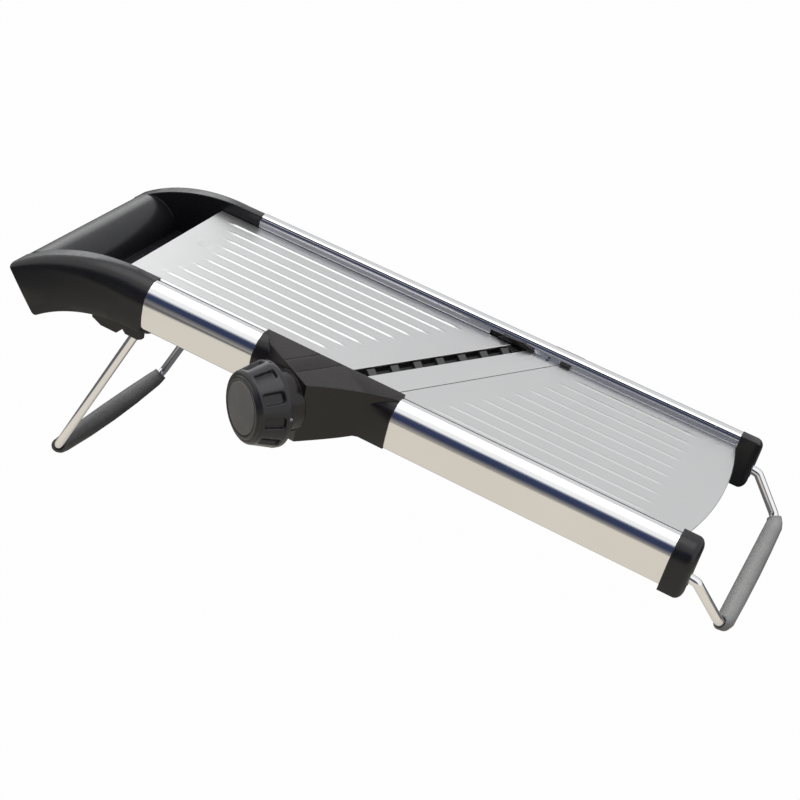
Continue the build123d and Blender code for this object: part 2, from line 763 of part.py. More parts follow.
# ---- Caps and legs ------------------------------------------------------
def end_cap():
    """Moulded end of the far rail, with a slot for the front leg's wire."""
    end_x = rail_length + cap_length
    body = rail_bar(rail_length, end_x, cap_proud, rail_height + cap_drop)
    body = fillet(body.faces().sort_by(Axis.X)[-1].edges(), cap_round)
    body += rail_bar(rail_length - cap_tenon + 0.2, rail_length + 1, -rail_skin - press_gap)
    slot_x = front_pivot_x - wire_radius - leg_gap
    slot_top = -front_pivot_depth + wire_radius + leg_gap
    slot_bottom = -rail_height - cap_drop - 2
    slot_side = closed_face([(slot_x, slot_top), (end_x + 1, slot_top), (end_x + 1, slot_bottom),
                             (rail_length - 1, slot_bottom), (rail_length, -rail_height)])
    body -= cross_prism(slot_side, rail_axis - cap_slot / 2, rail_axis + cap_slot / 2)
    bore_start = rail_axis - front_reach - 0.5
    bore = Pos(front_pivot_x, (bore_start + rail_axis) / 2, -front_pivot_depth) * Rot(90, 0, 0)
    return body - bore * Cylinder(wire_radius + shaft_gap, rail_axis - bore_start)


def bent_wire(points, radii, radius):
    """Round wire along a mirrored route: the points run from one end to the middle."""
    route = list(points) + [(x, -y, z) for x, y, z in reversed(points)]
    path = FilletPolyline(*route, radius=list(radii) + list(reversed(radii)))
    start = Plane(origin=path @ 0, z_dir=path % 0)
    return sweep(start * Circle(radius), path=path)


def across_foot(straight, angle, side):
    """Plane across a foot's wire, at an angle round the bend at one of its ends."""
    turn = radians(angle)
    return Plane(
        origin=(0, side * (straight + wire_bend * sin(turn)), wire_bend * (1 - cos(turn))),
        x_dir=(1, 0, 0), z_dir=(0, cos(turn), side * sin(turn)))


def foot_pad(x, z, lean, straight, radius, bow):
    """Rubber sleeve on a wire foot: it starts in the wire's bends and swells in its middle."""
    angles = (pad_wrap, pad_wrap / 2)
    slim = [radius - pad_lip, radius - pad_lip / 2]
    sections = [across_foot(straight, a, -1) * Circle(r) for a, r in zip(angles, slim)]
    for share in (-1, -0.5, 0, 0.5, 1):
        swell = bow * (1 - share ** 2)
        plane = Plane(origin=(0, share * straight, -pad_drop * swell), x_dir=(1, 0, 0),
                      z_dir=(0, 1, 0))
        wide, deep = radius + pad_widen * swell, radius + (1 - pad_drop) * swell
        sections.append(plane * (Ellipse(wide, deep) if swell else Circle(radius)))
    sections += [across_foot(straight, a, 1) * Circle(r) for a, r in zip(angles[::-1], slim[::-1])]
    pad = loft(sections, ruled=True)
    pad -= Rot(90, 0, 0) * Cylinder(wire_radius + wire_fit, 2 * straight + 0.2)
    step = radians(pad_wrap / 4)
    loose = wire_radius + wire_fit + wire_bend * (1 - cos(step)) + 0.05
    for side in (-1, 1):
        pad -= loft([across_foot(straight, a, side) * Circle(loose)
                     for a in (0, pad_wrap / 2, pad_wrap)], ruled=True)
        last = across_foot(straight, pad_wrap, side)
        pad -= extrude(last * Circle(loose), 1, dir=tuple(last.z_dir * side))
    return Pos(x, 0, z) * Rot(0, lean, 0) * pad


def foot_reach(radius, bow, angle):
    """How far a pad's lowest point lies under its wire, for a leg at an angle from upright."""
    wide, deep = radius + pad_widen * bow, radius + (1 - pad_drop) * bow
    return pad_drop * bow * cos(angle) + hypot(wide * sin(angle), deep * cos(angle))


def rear_leg_wire():
    foot_x = rear_pivot_x - rear_leg_back
    foot_z = -rear_pivot_depth - rear_leg_drop
    route = [(rear_pivot_x, rear_half_width - rear_reach, -rear_pivot_depth),
             (rear_pivot_x, rear_half_width, -rear_pivot_depth),
             (foot_x, rear_half_width, foot_z)]
    return bent_wire(route, (pivot_bend, wire_bend), wire_radius)


def front_leg_wire():
    route = [(front_pivot_x, rail_axis - front_reach, -front_pivot_depth),
             (front_pivot_x, rail_axis, -front_pivot_depth),
             (front_knee_x, rail_axis, -front_knee_depth),
             (front_foot_x, front_half_width, -front_foot_depth)]
    return bent_wire(route, (pivot_bend, pivot_bend, wire_bend), wire_radius)


def rear_foot_pad():
    foot_x = rear_pivot_x - rear_leg_back
    foot_z = -rear_pivot_depth - rear_leg_drop
    straight = rear_half_width - wire_bend
    return foot_pad(foot_x, foot_z, degrees(rear_lean), straight, rear_foot_radius, rear_foot_bow)


def front_foot_pad():
    leg_run = hypot(front_foot_x - front_knee_x, front_foot_depth - front_knee_depth)
    bend = pi / 2 - atan2(rail_axis - front_half_width, leg_run)
    straight = front_half_width - wire_bend * tan(bend / 2)
    return foot_pad(front_foot_x, -front_foot_depth, degrees(front_lean), straight,
                    front_foot_radius, front_foot_bow)


# ---- Assembly -----------------------------------------------------------
handle_solid = handle()
blade_solid = blade()
board = {
    "handle": handle_solid,
    "rear_leg_bracket": rear_leg_bracket(),
    "near_rail_upper_sleeve": to_near(rail_sleeve(0, housing_start_x)),
    "near_rail_lower_sleeve": to_near(rail_sleeve(housing_end_x, rail_length)),
    "near_rail_core": near_core(),
    "far_rail_sleeve": far_sleeve(),
    "far_rail_core": far_core(),
    "knob_housing": knob_housing(),
    "shaft_bushes": shaft_bushes(),
    "runway_hinge_pins": runway_hinge_pins(),
    "landing_plate": landing_plate(),
    "landing_carrier": landing_carrier(),
    "far_blade_guide": far_blade_guide(),
    "near_end_cap": to_near(end_cap()),
    "far_end_cap": end_cap(),
    "runway_plate": runway_plate(),
    "runway_carrier": runway_carrier(),
    "knob_body": knob_body(),
    "knob_disc": knob_disc(),
    "knob_shaft": knob_shaft(),
    "comb_cams": comb_cams(),
    "runway_cams": runway_cams(),
    "comb_bar": comb_bar(),
    "comb_teeth": comb_teeth(),
    "blade": blade_solid,
    "blade_tab": blade_tab(),
    "rear_leg_wire": rear_leg_wire(),
    "rear_foot_pad": rear_foot_pad(),
    "front_leg_wire": front_leg_wire(),
    "front_foot_pad": front_foot_pad(),
}

# Both feet stand on one level floor: the line between their centres gives the tilt.
rear_foot_x = rear_pivot_x - rear_leg_back
rear_foot_depth = rear_pivot_depth + rear_leg_drop
foot_run = front_foot_x - rear_foot_x
foot_fall = rear_foot_depth - front_foot_depth
slope = atan2(foot_fall, foot_run)
reach_step = (foot_reach(rear_foot_radius, rear_foot_bow, rear_lean - slope)
              - foot_reach(front_foot_radius, front_foot_bow, front_lean - slope))
tilt = degrees(slope + asin(reach_step / hypot(foot_run, foot_fall)))
tilted = {name: Rot(0, tilt, 0) * shape for name, shape in board.items()}
box = Compound(list(tilted.values())).bounding_box()
stand = Location((-box.center().X, -box.center().Y, -box.min.Z))

os.makedirs("parts", exist_ok=True)
for name, shape in tilted.items():
    export_step(stand * shape, f"parts/{name}.step")
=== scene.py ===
"""Looks of a mandoline slicer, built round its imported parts.

Every new surface is worked out in the board's own frame, in millimetres: X runs
down the board, Y away from the knob and Z up, with Z = 0 on top of the rails.
"""
import json
import logging
import math
from dataclasses import dataclass, field
from enum import Enum
from typing import Dict, List, Sequence, Tuple, Union

import bmesh
import bpy
import numpy as np
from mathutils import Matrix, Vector


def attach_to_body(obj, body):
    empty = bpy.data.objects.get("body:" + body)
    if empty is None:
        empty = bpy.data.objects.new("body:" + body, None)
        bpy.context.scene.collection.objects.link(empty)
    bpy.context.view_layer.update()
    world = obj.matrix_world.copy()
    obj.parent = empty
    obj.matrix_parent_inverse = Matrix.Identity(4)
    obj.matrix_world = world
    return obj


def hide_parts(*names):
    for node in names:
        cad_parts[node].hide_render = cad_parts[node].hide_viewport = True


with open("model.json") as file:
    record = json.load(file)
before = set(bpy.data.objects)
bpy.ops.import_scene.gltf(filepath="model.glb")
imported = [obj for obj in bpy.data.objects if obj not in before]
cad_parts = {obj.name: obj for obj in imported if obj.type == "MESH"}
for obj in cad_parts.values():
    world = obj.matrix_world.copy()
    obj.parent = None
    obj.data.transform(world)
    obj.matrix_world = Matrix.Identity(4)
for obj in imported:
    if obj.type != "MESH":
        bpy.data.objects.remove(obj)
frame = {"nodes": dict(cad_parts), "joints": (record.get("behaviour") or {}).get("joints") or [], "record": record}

logging.basicConfig(level=logging.INFO, format="%(message)s")
log = logging.getLogger("slicer")

Pair = Tuple[float, float]
Triple = Tuple[float, float, float]
Values = Union[float, np.ndarray]    # one number, or one for each point

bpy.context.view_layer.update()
MM = 0.001
HINGE_X, HINGE_DEPTH = -12.0, 12.5    # the runway's hinge on the board, in millimetres
SLOTS: Dict[str, str] = {part["node"]: part["material_slot"] for part in frame["record"]["subparts"]}


# ---- Board frame ---------------------------------------------------------
@dataclass(frozen=True)
class Board:
    """The flat board's frame, as it stands tilted on its legs.

    Attributes:
        tilt: Slope of the board, in radians.
        origin: Where the board's own origin lies, in metres.
    """

    tilt: float
    origin: Triple

    @classmethod
    def from_joints(cls, joints: Sequence[dict], hinge_x: float, hinge_depth: float) -> "Board":
        """Reads the slope from the comb's axis and the place from the runway's hinge.

        Args:
            joints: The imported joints.
            hinge_x: Runway hinge along the board, in millimetres.
            hinge_depth: Its depth below the rails' top, in millimetres.

        Returns:
            The board's frame.
        """
        by_name = {joint["name"]: joint for joint in joints}
        normal = by_name["comb_lift"]["axis"]
        tilt = math.atan2(normal[0], normal[2])
        hinge = by_name["runway_tilt"]["pos_m"]
        run = hinge_x * math.cos(tilt) - hinge_depth * math.sin(tilt)
        rise = -hinge_x * math.sin(tilt) - hinge_depth * math.cos(tilt)
        return cls(tilt, (hinge[0] - run * MM, hinge[1], hinge[2] - rise * MM))

    def place(self, points: np.ndarray) -> np.ndarray:
        """Turns board millimetres into metres in the shared frame.

        Args:
            points: Array whose last axis is x, y, z.

        Returns:
            The same points, turned about Y by the slope and moved to the origin.
        """
        c, s = math.cos(self.tilt), math.sin(self.tilt)
        turn = np.array([[c, 0.0, s], [0.0, 1.0, 0.0], [-s, 0.0, c]])
        return np.asarray(points, float) @ turn.T * MM + np.array(self.origin)


BOARD = Board.from_joints(frame["joints"], HINGE_X, HINGE_DEPTH)


# ---- Surfaces ------------------------------------------------------------
def grid_faces(rows: int, cols: int, closed: bool) -> np.ndarray:
    """Quads of a grid of points, in row-major order.

    Args:
        rows: Number of rows of points.
        cols: Points in each row.
        closed: Whether each row is a closed loop.

    Returns:
        Array of four point numbers for each quad.
    """
    a, b = np.meshgrid(np.arange(rows - 1), np.arange(cols if closed else cols - 1), indexing="ij")
    a, b = a.ravel(), b.ravel()
    a1, b1 = a + 1, (b + 1) % cols
    return np.stack([a * cols + b, a * cols + b1, a1 * cols + b1, a1 * cols + b], axis=1)


def signed_volume(points: np.ndarray, quads: np.ndarray) -> float:
    """Six times the volume inside the quads: the sum of each triangle's triple product.

    Args:
        points: One row for each point.
        quads: Four point numbers for each quad.

    Returns:
        The sum, which is negative when the quads face inwards.
    """
    p = points[quads]
    first = np.einsum("ij,ij->i", p[:, 0], np.cross(p[:, 1], p[:, 2]))
    second = np.einsum("ij,ij->i", p[:, 0], np.cross(p[:, 2], p[:, 3]))
    return float(first.sum() + second.sum())


def add_object(name: str, data: bpy.types.ID) -> bpy.types.Object:
    """Puts a mesh, lamp or camera into the scene, at the origin.

    Args:
        name: The object's name.
        data: The mesh, lamp or camera.

    Returns:
        The new object.
    """
    obj = bpy.data.objects.new(name, data)
    bpy.context.scene.collection.objects.link(obj)
    return obj


def new_object(name: str, points: np.ndarray, faces: List[np.ndarray], sharp_deg: float,
               ) -> bpy.types.Object:
    """Puts points and faces into a mesh, smooth except across sharp edges.

    Args:
        name: The piece's name.
        points: Board millimetres, one row for each point.
        faces: Arrays of point numbers, each array with one face length.
        sharp_deg: Edges that bend by more than this stay sharp.

    Returns:
        The new object, at the origin, with its place in its mesh.
    """
    mesh = bpy.data.meshes.new(name)
    world = BOARD.place(points)
    mesh.from_pydata(world.tolist(), [], [row for block in faces for row in block.tolist()])
    mesh.validate()
    mesh.shade_smooth()
    mesh.set_sharp_from_angle(angle=math.radians(sharp_deg))
    return add_object(name, mesh)


def tube_object(name: str, rings: np.ndarray, sharp_deg: float) -> bpy.types.Object:
    """Closed body from rings of points: each ring is one closed section, both ends are flat.

    Args:
        name: The piece's name.
        rings: Array of sections, points and x, y, z.
        sharp_deg: Edges that bend by more than this stay sharp.

    Returns:
        The new object, with its faces outwards.
    """
    rows, cols = rings.shape[:2]
    points = rings.reshape(-1, 3)
    quads = grid_faces(rows, cols, True)
    if signed_volume(points, quads) < 0:
        points = rings[:, ::-1].reshape(-1, 3)
    first = np.arange(cols)[None, ::-1]
    last = ((rows - 1) * cols + np.arange(cols))[None, :]
    return new_object(name, points, [quads, first, last], sharp_deg)


def arc_through(start: Sequence[float], middle: Sequence[float], end: Sequence[float],
                count: int) -> np.ndarray:
    """Points along the circle through three points, evenly turned from start to end.

    Args:
        start: First point, in the plane.
        middle: A point between the two ends.
        end: Last point.
        count: Number of points.

    Returns:
        The points. The centre is as far from each of the three, which gives two equations.
    """
    a, b, c = (np.asarray(p, float) for p in (start, middle, end))
    rows = np.array([b - a, c - a]) * 2
    right = np.array([b @ b - a @ a, c @ c - a @ a])
    centre = np.linalg.solve(rows, right)
    radius = np.linalg.norm(a - centre)
    angles = [math.atan2(*(p - centre)[::-1]) for p in (a, b, c)]
    sweep = (angles[2] - angles[0]) % (2 * math.pi)
    if (angles[1] - angles[0]) % (2 * math.pi) > sweep:
        sweep -= 2 * math.pi
    turn = angles[0] + np.linspace(0.0, 1.0, count) * sweep
    return centre + radius * np.stack([np.cos(turn), np.sin(turn)], axis=1)


def rounded_corner(before: np.ndarray, corner: np.ndarray, after: np.ndarray, radius: float,
                   count: int) -> np.ndarray:
    """Arc that rounds a corner in space, tangent to both of its legs.

    Args:
        before: Point before the corner.
        corner: The corner.
        after: Point after it.
        radius: The arc's radius.
        count: Points on the arc.

    Returns:
        The arc's points. Its centre lies on the corner's bisector, at radius / sin(half angle).
    """
    a = (before - corner) / np.linalg.norm(before - corner)
    b = (after - corner) / np.linalg.norm(after - corner)
    half = math.acos(float(np.clip(a @ b, -1, 1))) / 2
    middle = (a + b) / np.linalg.norm(a + b)
    centre = corner + middle * radius / math.sin(half)
    first = corner + a * radius / math.tan(half) - centre
    across = corner + b * radius / math.tan(half) - centre
    total = math.pi - 2 * half
    t = np.linspace(0.0, 1.0, count)[:, None]
    return centre + (np.sin((1 - t) * total) * first + np.sin(t * total) * across) / math.sin(total)


def bent_path(points: Sequence[Sequence[float]], radii: Sequence[float], count: int) -> np.ndarray:
    """Route of straight runs joined by arcs.

    Args:
        points: Corners of the route, ends included.
        radii: One radius for each inner corner.
        count: Points on each arc.

    Returns:
        Points along the route.
    """
    pts = np.asarray(points, float)
    parts = [pts[:1]]
    for i, radius in enumerate(radii, start=1):
        parts.append(rounded_corner(pts[i - 1], pts[i], pts[i + 1], radius, count))
    parts.append(pts[-1:])
    return np.concatenate(parts)


OFF_AXIS = (0.31, 0.17, 0.93)    # a direction that no route starts in


def sweep_rings(path: np.ndarray, section: np.ndarray) -> np.ndarray:
    """Carries a flat section along a path without twist.

    Args:
        path: Points along the route.
        section: Section points in two directions square to the route.

    Returns:
        One ring for each point. The first side direction is projected on from ring to ring.
    """
    ahead = np.gradient(path, axis=0)
    ahead /= np.linalg.norm(ahead, axis=1)[:, None]
    side = np.cross(ahead[0], OFF_AXIS)
    rings = []
    for centre, way in zip(path, ahead):
        side = side - way * (side @ way)
        side /= np.linalg.norm(side)
        rings.append(centre + section[:, :1] * side + section[:, 1:] * np.cross(way, side))
    return np.array(rings)


def full_turn(count: int) -> np.ndarray:
    """Evenly spaced turns round an axis, in radians."""
    return np.linspace(0.0, 2 * math.pi, count, endpoint=False)


def circle(radius: float, count: int) -> np.ndarray:
    """Closed round section."""
    turn = full_turn(count)
    return radius * np.stack([np.cos(turn), np.sin(turn)], axis=1)


def smooth_step(x: np.ndarray) -> np.ndarray:
    """3x squared less 2x cubed, between 0 and 1."""
    x = np.clip(x, 0.0, 1.0)
    return x * x * (3 - 2 * x)


def bevelled(obj: bpy.types.Object, width: float, segments: int = 2, angle_deg: float = 40.0) -> None:
    """Rounds a piece's sharp edges.

    Args:
        obj: The piece.
        width: Width of the rounding, in millimetres.
        segments: Faces across it.
        angle_deg: Edges that bend by less than this are left alone.
    """
    bevel = obj.modifiers.new("edges", "BEVEL")
    bevel.width = width * MM
    bevel.segments = segments
    bevel.limit_method = "ANGLE"
    bevel.angle_limit = math.radians(angle_deg)
    bevel.harden_normals = True


WELD = 2e-6            # metres between corners that are one
FLAT_DEG = 0.4         # faces that bend by less than this are one
COPY_SHARP_DEG = 28.0


def merged_copy(node: str, name: str) -> bpy.types.Object:
    """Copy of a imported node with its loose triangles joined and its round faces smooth.

    Args:
        node: The node to copy.
        name: The copy's name.

    Returns:
        The copy, which stands for the node.
    """
    mesh = frame["nodes"][node].data.copy()
    mesh.name = name
    mesh.materials.clear()
    bm = bmesh.new()
    bm.from_mesh(mesh)
    bmesh.ops.remove_doubles(bm, verts=bm.verts, dist=WELD)
    bmesh.ops.dissolve_limit(bm, angle_limit=math.radians(FLAT_DEG), verts=bm.verts, edges=bm.edges)
    bm.to_mesh(mesh)
    bm.free()
    mesh.shade_smooth()
    mesh.set_sharp_from_angle(angle=math.radians(COPY_SHARP_DEG))
    obj = add_object(name, mesh)
    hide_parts(node)
    return obj


# ---- Shader nodes --------------------------------------------------------
MIX_FACTOR, MIX_FIRST, MIX_SECOND = 0, 6, 7    # inputs of a Mix node that mixes colours
MIX_COLOUR = 2                                 # its output
NOISE_RANGE = (0.3, 0.7)                       # where most of a noise's values lie
EDGE_SAMPLES = 6                               # rays that round each edge's shading


def attach(socket: bpy.types.NodeSocket, value: object) -> None:
    """Links a socket to another, or sets it to a value; a colour gets its fourth number.

    Args:
        socket: An input.
        value: An output, a number, or three numbers.
    """
    if isinstance(value, bpy.types.NodeSocket):
        socket.id_data.links.new(value, socket)
    else:
        socket.default_value = (*value, 1) if socket.type == "RGBA" else value


def feed(node: bpy.types.Node, **values: object) -> bpy.types.Node:
    """Sets or links a node's inputs.

    Args:
        node: The node.
        **values: What each input takes; underscores in their names stand for spaces.

    Returns:
        The same node.
    """
    for key, value in values.items():
        attach(node.inputs[key.replace("_", " ")], value)
    return node


def add_node(tree: bpy.types.NodeTree, kind: str, **values: object) -> bpy.types.Node:
    """Adds a shader node and feeds its inputs."""
    return feed(tree.nodes.new("ShaderNode" + kind), **values)


def coordinates(tree: bpy.types.NodeTree, which: str) -> bpy.types.NodeSocket:
    """One output of a new coordinate node."""
    return add_node(tree, "TexCoord").outputs[which]


def graded(value: bpy.types.NodeSocket, limits: Pair, first: object, second: object,
           ) -> bpy.types.NodeSocket:
    """Colour that changes smoothly from one to another as a value passes between two limits.

    Args:
        value: The value's socket.
        limits: Where the first colour ends and where the second begins.
        first: Colour, or the socket of one.
        second: Colour, or the socket of one.

    Returns:
        The mixed colour's socket.
    """
    tree = value.id_data
    step = add_node(tree, "MapRange", Value=value, From_Min=limits[0], From_Max=limits[1])
    step.interpolation_type = "SMOOTHSTEP"
    mix = add_node(tree, "Mix")
    mix.data_type = "RGBA"
    attach(mix.inputs[MIX_FACTOR], step.outputs["Result"])
    attach(mix.inputs[MIX_FIRST], first)
    attach(mix.inputs[MIX_SECOND], second)
    return mix.outputs[MIX_COLOUR]


# ---- Finishes ------------------------------------------------------------
class Paint:
    """A small builder of node materials."""

    def __init__(self, name: str, **values: object) -> None:
        """Starts a material with its object coordinates.

        Args:
            name: The material's name.
            **values: Plain inputs of its shader.
        """
        self.material = bpy.data.materials.new(name)
        self.material.use_nodes = True
        self.tree = self.material.node_tree
        self.shader = feed(self.tree.nodes["Principled BSDF"], **values)
        self.coord = coordinates(self.tree, "Object")

    def noise(self, scale: float, stretch: Triple = (1, 1, 1), detail: float = 3.0,
              ) -> bpy.types.NodeSocket:
        """Noise on object coordinates.

        Args:
            scale: Bumps per metre.
            stretch: Factor along each axis of the board.
            detail: Octaves of the noise.

        Returns:
            The noise's factor.
        """
        turned = add_node(self.tree, "Mapping", Vector=self.coord, Rotation=(0.0, -BOARD.tilt, 0.0))
        scaled = add_node(self.tree, "Mapping", Vector=turned.outputs["Vector"], Scale=stretch)
        noise = add_node(self.tree, "TexNoise", Vector=scaled.outputs["Vector"], Scale=scale,
                         Detail=detail)
        return noise.outputs["Fac"]

    def rough(self, factor: bpy.types.NodeSocket, low: float, high: float) -> None:
        """Varies the roughness.

        Args:
            factor: What it follows.
            low: Least roughness.
            high: Most roughness.
        """
        least, most = NOISE_RANGE
        spread = add_node(self.tree, "MapRange", Value=factor, From_Min=least, From_Max=most,
                          To_Min=low, To_Max=high)
        feed(self.shader, Roughness=spread.outputs["Result"])

    def tint(self, factor: bpy.types.NodeSocket, dark: Triple, light: Triple) -> None:
        """Varies the colour.

        Args:
            factor: What it follows.
            dark: Darker shade.
            light: Lighter shade.
        """
        ramp = add_node(self.tree, "ValToRGB", Fac=factor)
        for stop, place, colour in zip(ramp.color_ramp.elements, NOISE_RANGE, (dark, light)):
            stop.position, stop.color = place, (*colour, 1)
        feed(self.shader, Base_Color=ramp.outputs["Color"])

    def bump(self, height: bpy.types.NodeSocket, depth: float, rounding: float = 0.0) -> None:
        """Fine relief over rounded edges.

        Args:
            height: The relief.
            depth: Its depth, in millimetres.
            rounding: Radius to which edges look rounded, in millimetres.
        """
        relief = add_node(self.tree, "Bump", Height=height, Distance=depth * MM)
        if rounding:
            edge = add_node(self.tree, "Bevel", Radius=rounding * MM)
            edge.samples = EDGE_SAMPLES
            feed(relief, Normal=edge.outputs["Normal"])
        feed(self.shader, Normal=relief.outputs["Normal"])


@dataclass(frozen=True)
class Moulding:
    """Moulded plastic: a colour, a gloss and a fine skin.

    Attributes:
        name: The material's name.
        colour: Its darker shade.
        low: Least roughness.
        high: Most roughness.
        skin: Depth of the skin's relief, in millimetres.
        grain: Bumps of the skin per metre.
        ior: Index of refraction.
        rounding: Radius to which edges look rounded, in millimetres.
        lift: How much lighter the lighter shade is.
    """

    name: str
    colour: Triple
    low: float
    high: float
    skin: float = 0.01
    grain: float = 900.0
    ior: float = 1.46
    rounding: float = 1.0
    lift: Pair = (1.18, 0.001)

    def material(self) -> bpy.types.Material:
        """Slightly uneven gloss with a fine orange-peel skin.

        Returns:
            The material.
        """
        paint = Paint(self.name, IOR=self.ior)
        factor, offset = self.lift
        paint.tint(paint.noise(scale=60.0), self.colour, tuple(c * factor + offset for c in self.colour))
        paint.rough(paint.noise(scale=140.0), self.low, self.high)
        paint.bump(paint.noise(self.grain, detail=4.0), self.skin, rounding=self.rounding)
        return paint.material


@dataclass(frozen=True)
class Metal:
    """Metal with brush marks along one way of the board.

    Attributes:
        name: The material's name.
        colour: Its lighter shade.
        low: Least roughness.
        high: Most roughness.
        stretch: Factor on the marks along each axis of the board.
        grain: Marks per metre.
        depth: Their depth, in millimetres.
        dim: The darker shade, as a share of the colour.
    """

    name: str
    colour: Triple
    low: float
    high: float
    stretch: Triple = (0.02, 1.0, 1.0)
    grain: float = 2600.0
    depth: float = 0.0015
    dim: float = 0.965

    def material(self) -> bpy.types.Material:
        """Metal whose gloss and relief follow long fine streaks.

        Returns:
            The material.
        """
        paint = Paint(self.name, Metallic=1.0)
        streak = paint.noise(self.grain, self.stretch)
        paint.tint(paint.noise(scale=18.0), tuple(c * self.dim for c in self.colour), self.colour)
        paint.rough(streak, self.low, self.high)
        paint.bump(streak, self.depth)
        return paint.material


@dataclass
class Palette:
    """Every finish of the slicer, each made once.

    Attributes:
        made: The materials made so far, by the name of the finish's field.
    """

    gloss_black: Moulding = Moulding("gloss_black_plastic", (0.010, 0.010, 0.012), 0.22, 0.28, 0.002)
    housing_black: Moulding = Moulding("housing_black_plastic", (0.009, 0.007, 0.007), 0.22, 0.28, 0.002)
    knob_black: Moulding = Moulding("knob_black_plastic", (0.016, 0.016, 0.019), 0.18, 0.24, 0.002)
    disc_grey: Moulding = Moulding("knob_disc_grey", (0.140, 0.134, 0.127), 0.5, 0.6, 0.008)
    inner_black: Moulding = Moulding("inner_black_plastic", (0.010, 0.010, 0.011), 0.5, 0.65, 0.01)
    mark_grey: Moulding = Moulding("dial_mark_grey", (0.34, 0.34, 0.35), 0.5, 0.6, 0.002)
    pad_dark: Moulding = Moulding("dark_grey_rubber", (0.072, 0.074, 0.071), 0.42, 0.55, 0.012, 1500.0)
    pad_grey: Moulding = Moulding("mid_grey_rubber", (0.195, 0.194, 0.192), 0.40, 0.52, 0.012, 1500.0)
    rail_steel: Metal = Metal("polished_rail_steel", (0.86, 0.86, 0.87), 0.10, 0.16)
    plate_steel: Metal = Metal("satin_plate_steel", (0.72, 0.72, 0.722), 0.34, 0.42)
    blade_steel: Metal = Metal("ground_blade_steel", (0.74, 0.74, 0.742), 0.30, 0.38)
    tooth_steel: Metal = Metal("dull_tooth_steel", (0.12, 0.12, 0.122), 0.45, 0.55)
    wire_chrome: Metal = Metal("bright_wire", (0.90, 0.90, 0.91), 0.07, 0.12, (1, 1, 1), 300.0, 0.001)
    made: Dict[str, bpy.types.Material] = field(default_factory=dict)

    def get(self, which: str) -> bpy.types.Material:
        """Makes a finish when it is first asked for.

        Args:
            which: Field of the palette.

        Returns:
            Its material.
        """
        if which not in self.made:
            self.made[which] = getattr(self, which).material()
        return self.made[which]


PALETTE = Palette()


def dress(obj: bpy.types.Object, finish: str) -> None:
    """Gives a piece one finish all over."""
    obj.data.materials.clear()
    obj.data.materials.append(PALETTE.get(finish))


def settle(obj: bpy.types.Object, body: str, slot: str, finish: str, *nodes: str) -> None:
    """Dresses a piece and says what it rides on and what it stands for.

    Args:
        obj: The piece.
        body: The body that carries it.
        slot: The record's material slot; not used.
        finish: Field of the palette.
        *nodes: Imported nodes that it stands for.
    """
    dress(obj, finish)
    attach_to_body(obj, body)
    if nodes:
        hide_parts(*nodes)
    log.info("piece %s on %s, %d faces", obj.name, body, len(obj.data.polygons))


class Side(Enum):
    """Which side of the board a piece lies on; the knob is on the near one."""

    NEAR = -1
    FAR = 1

    def of(self, points: np.ndarray) -> np.ndarray:
        """Points that are made for the far side, on this side."""
        return points * np.array([1.0, self.value, 1.0])


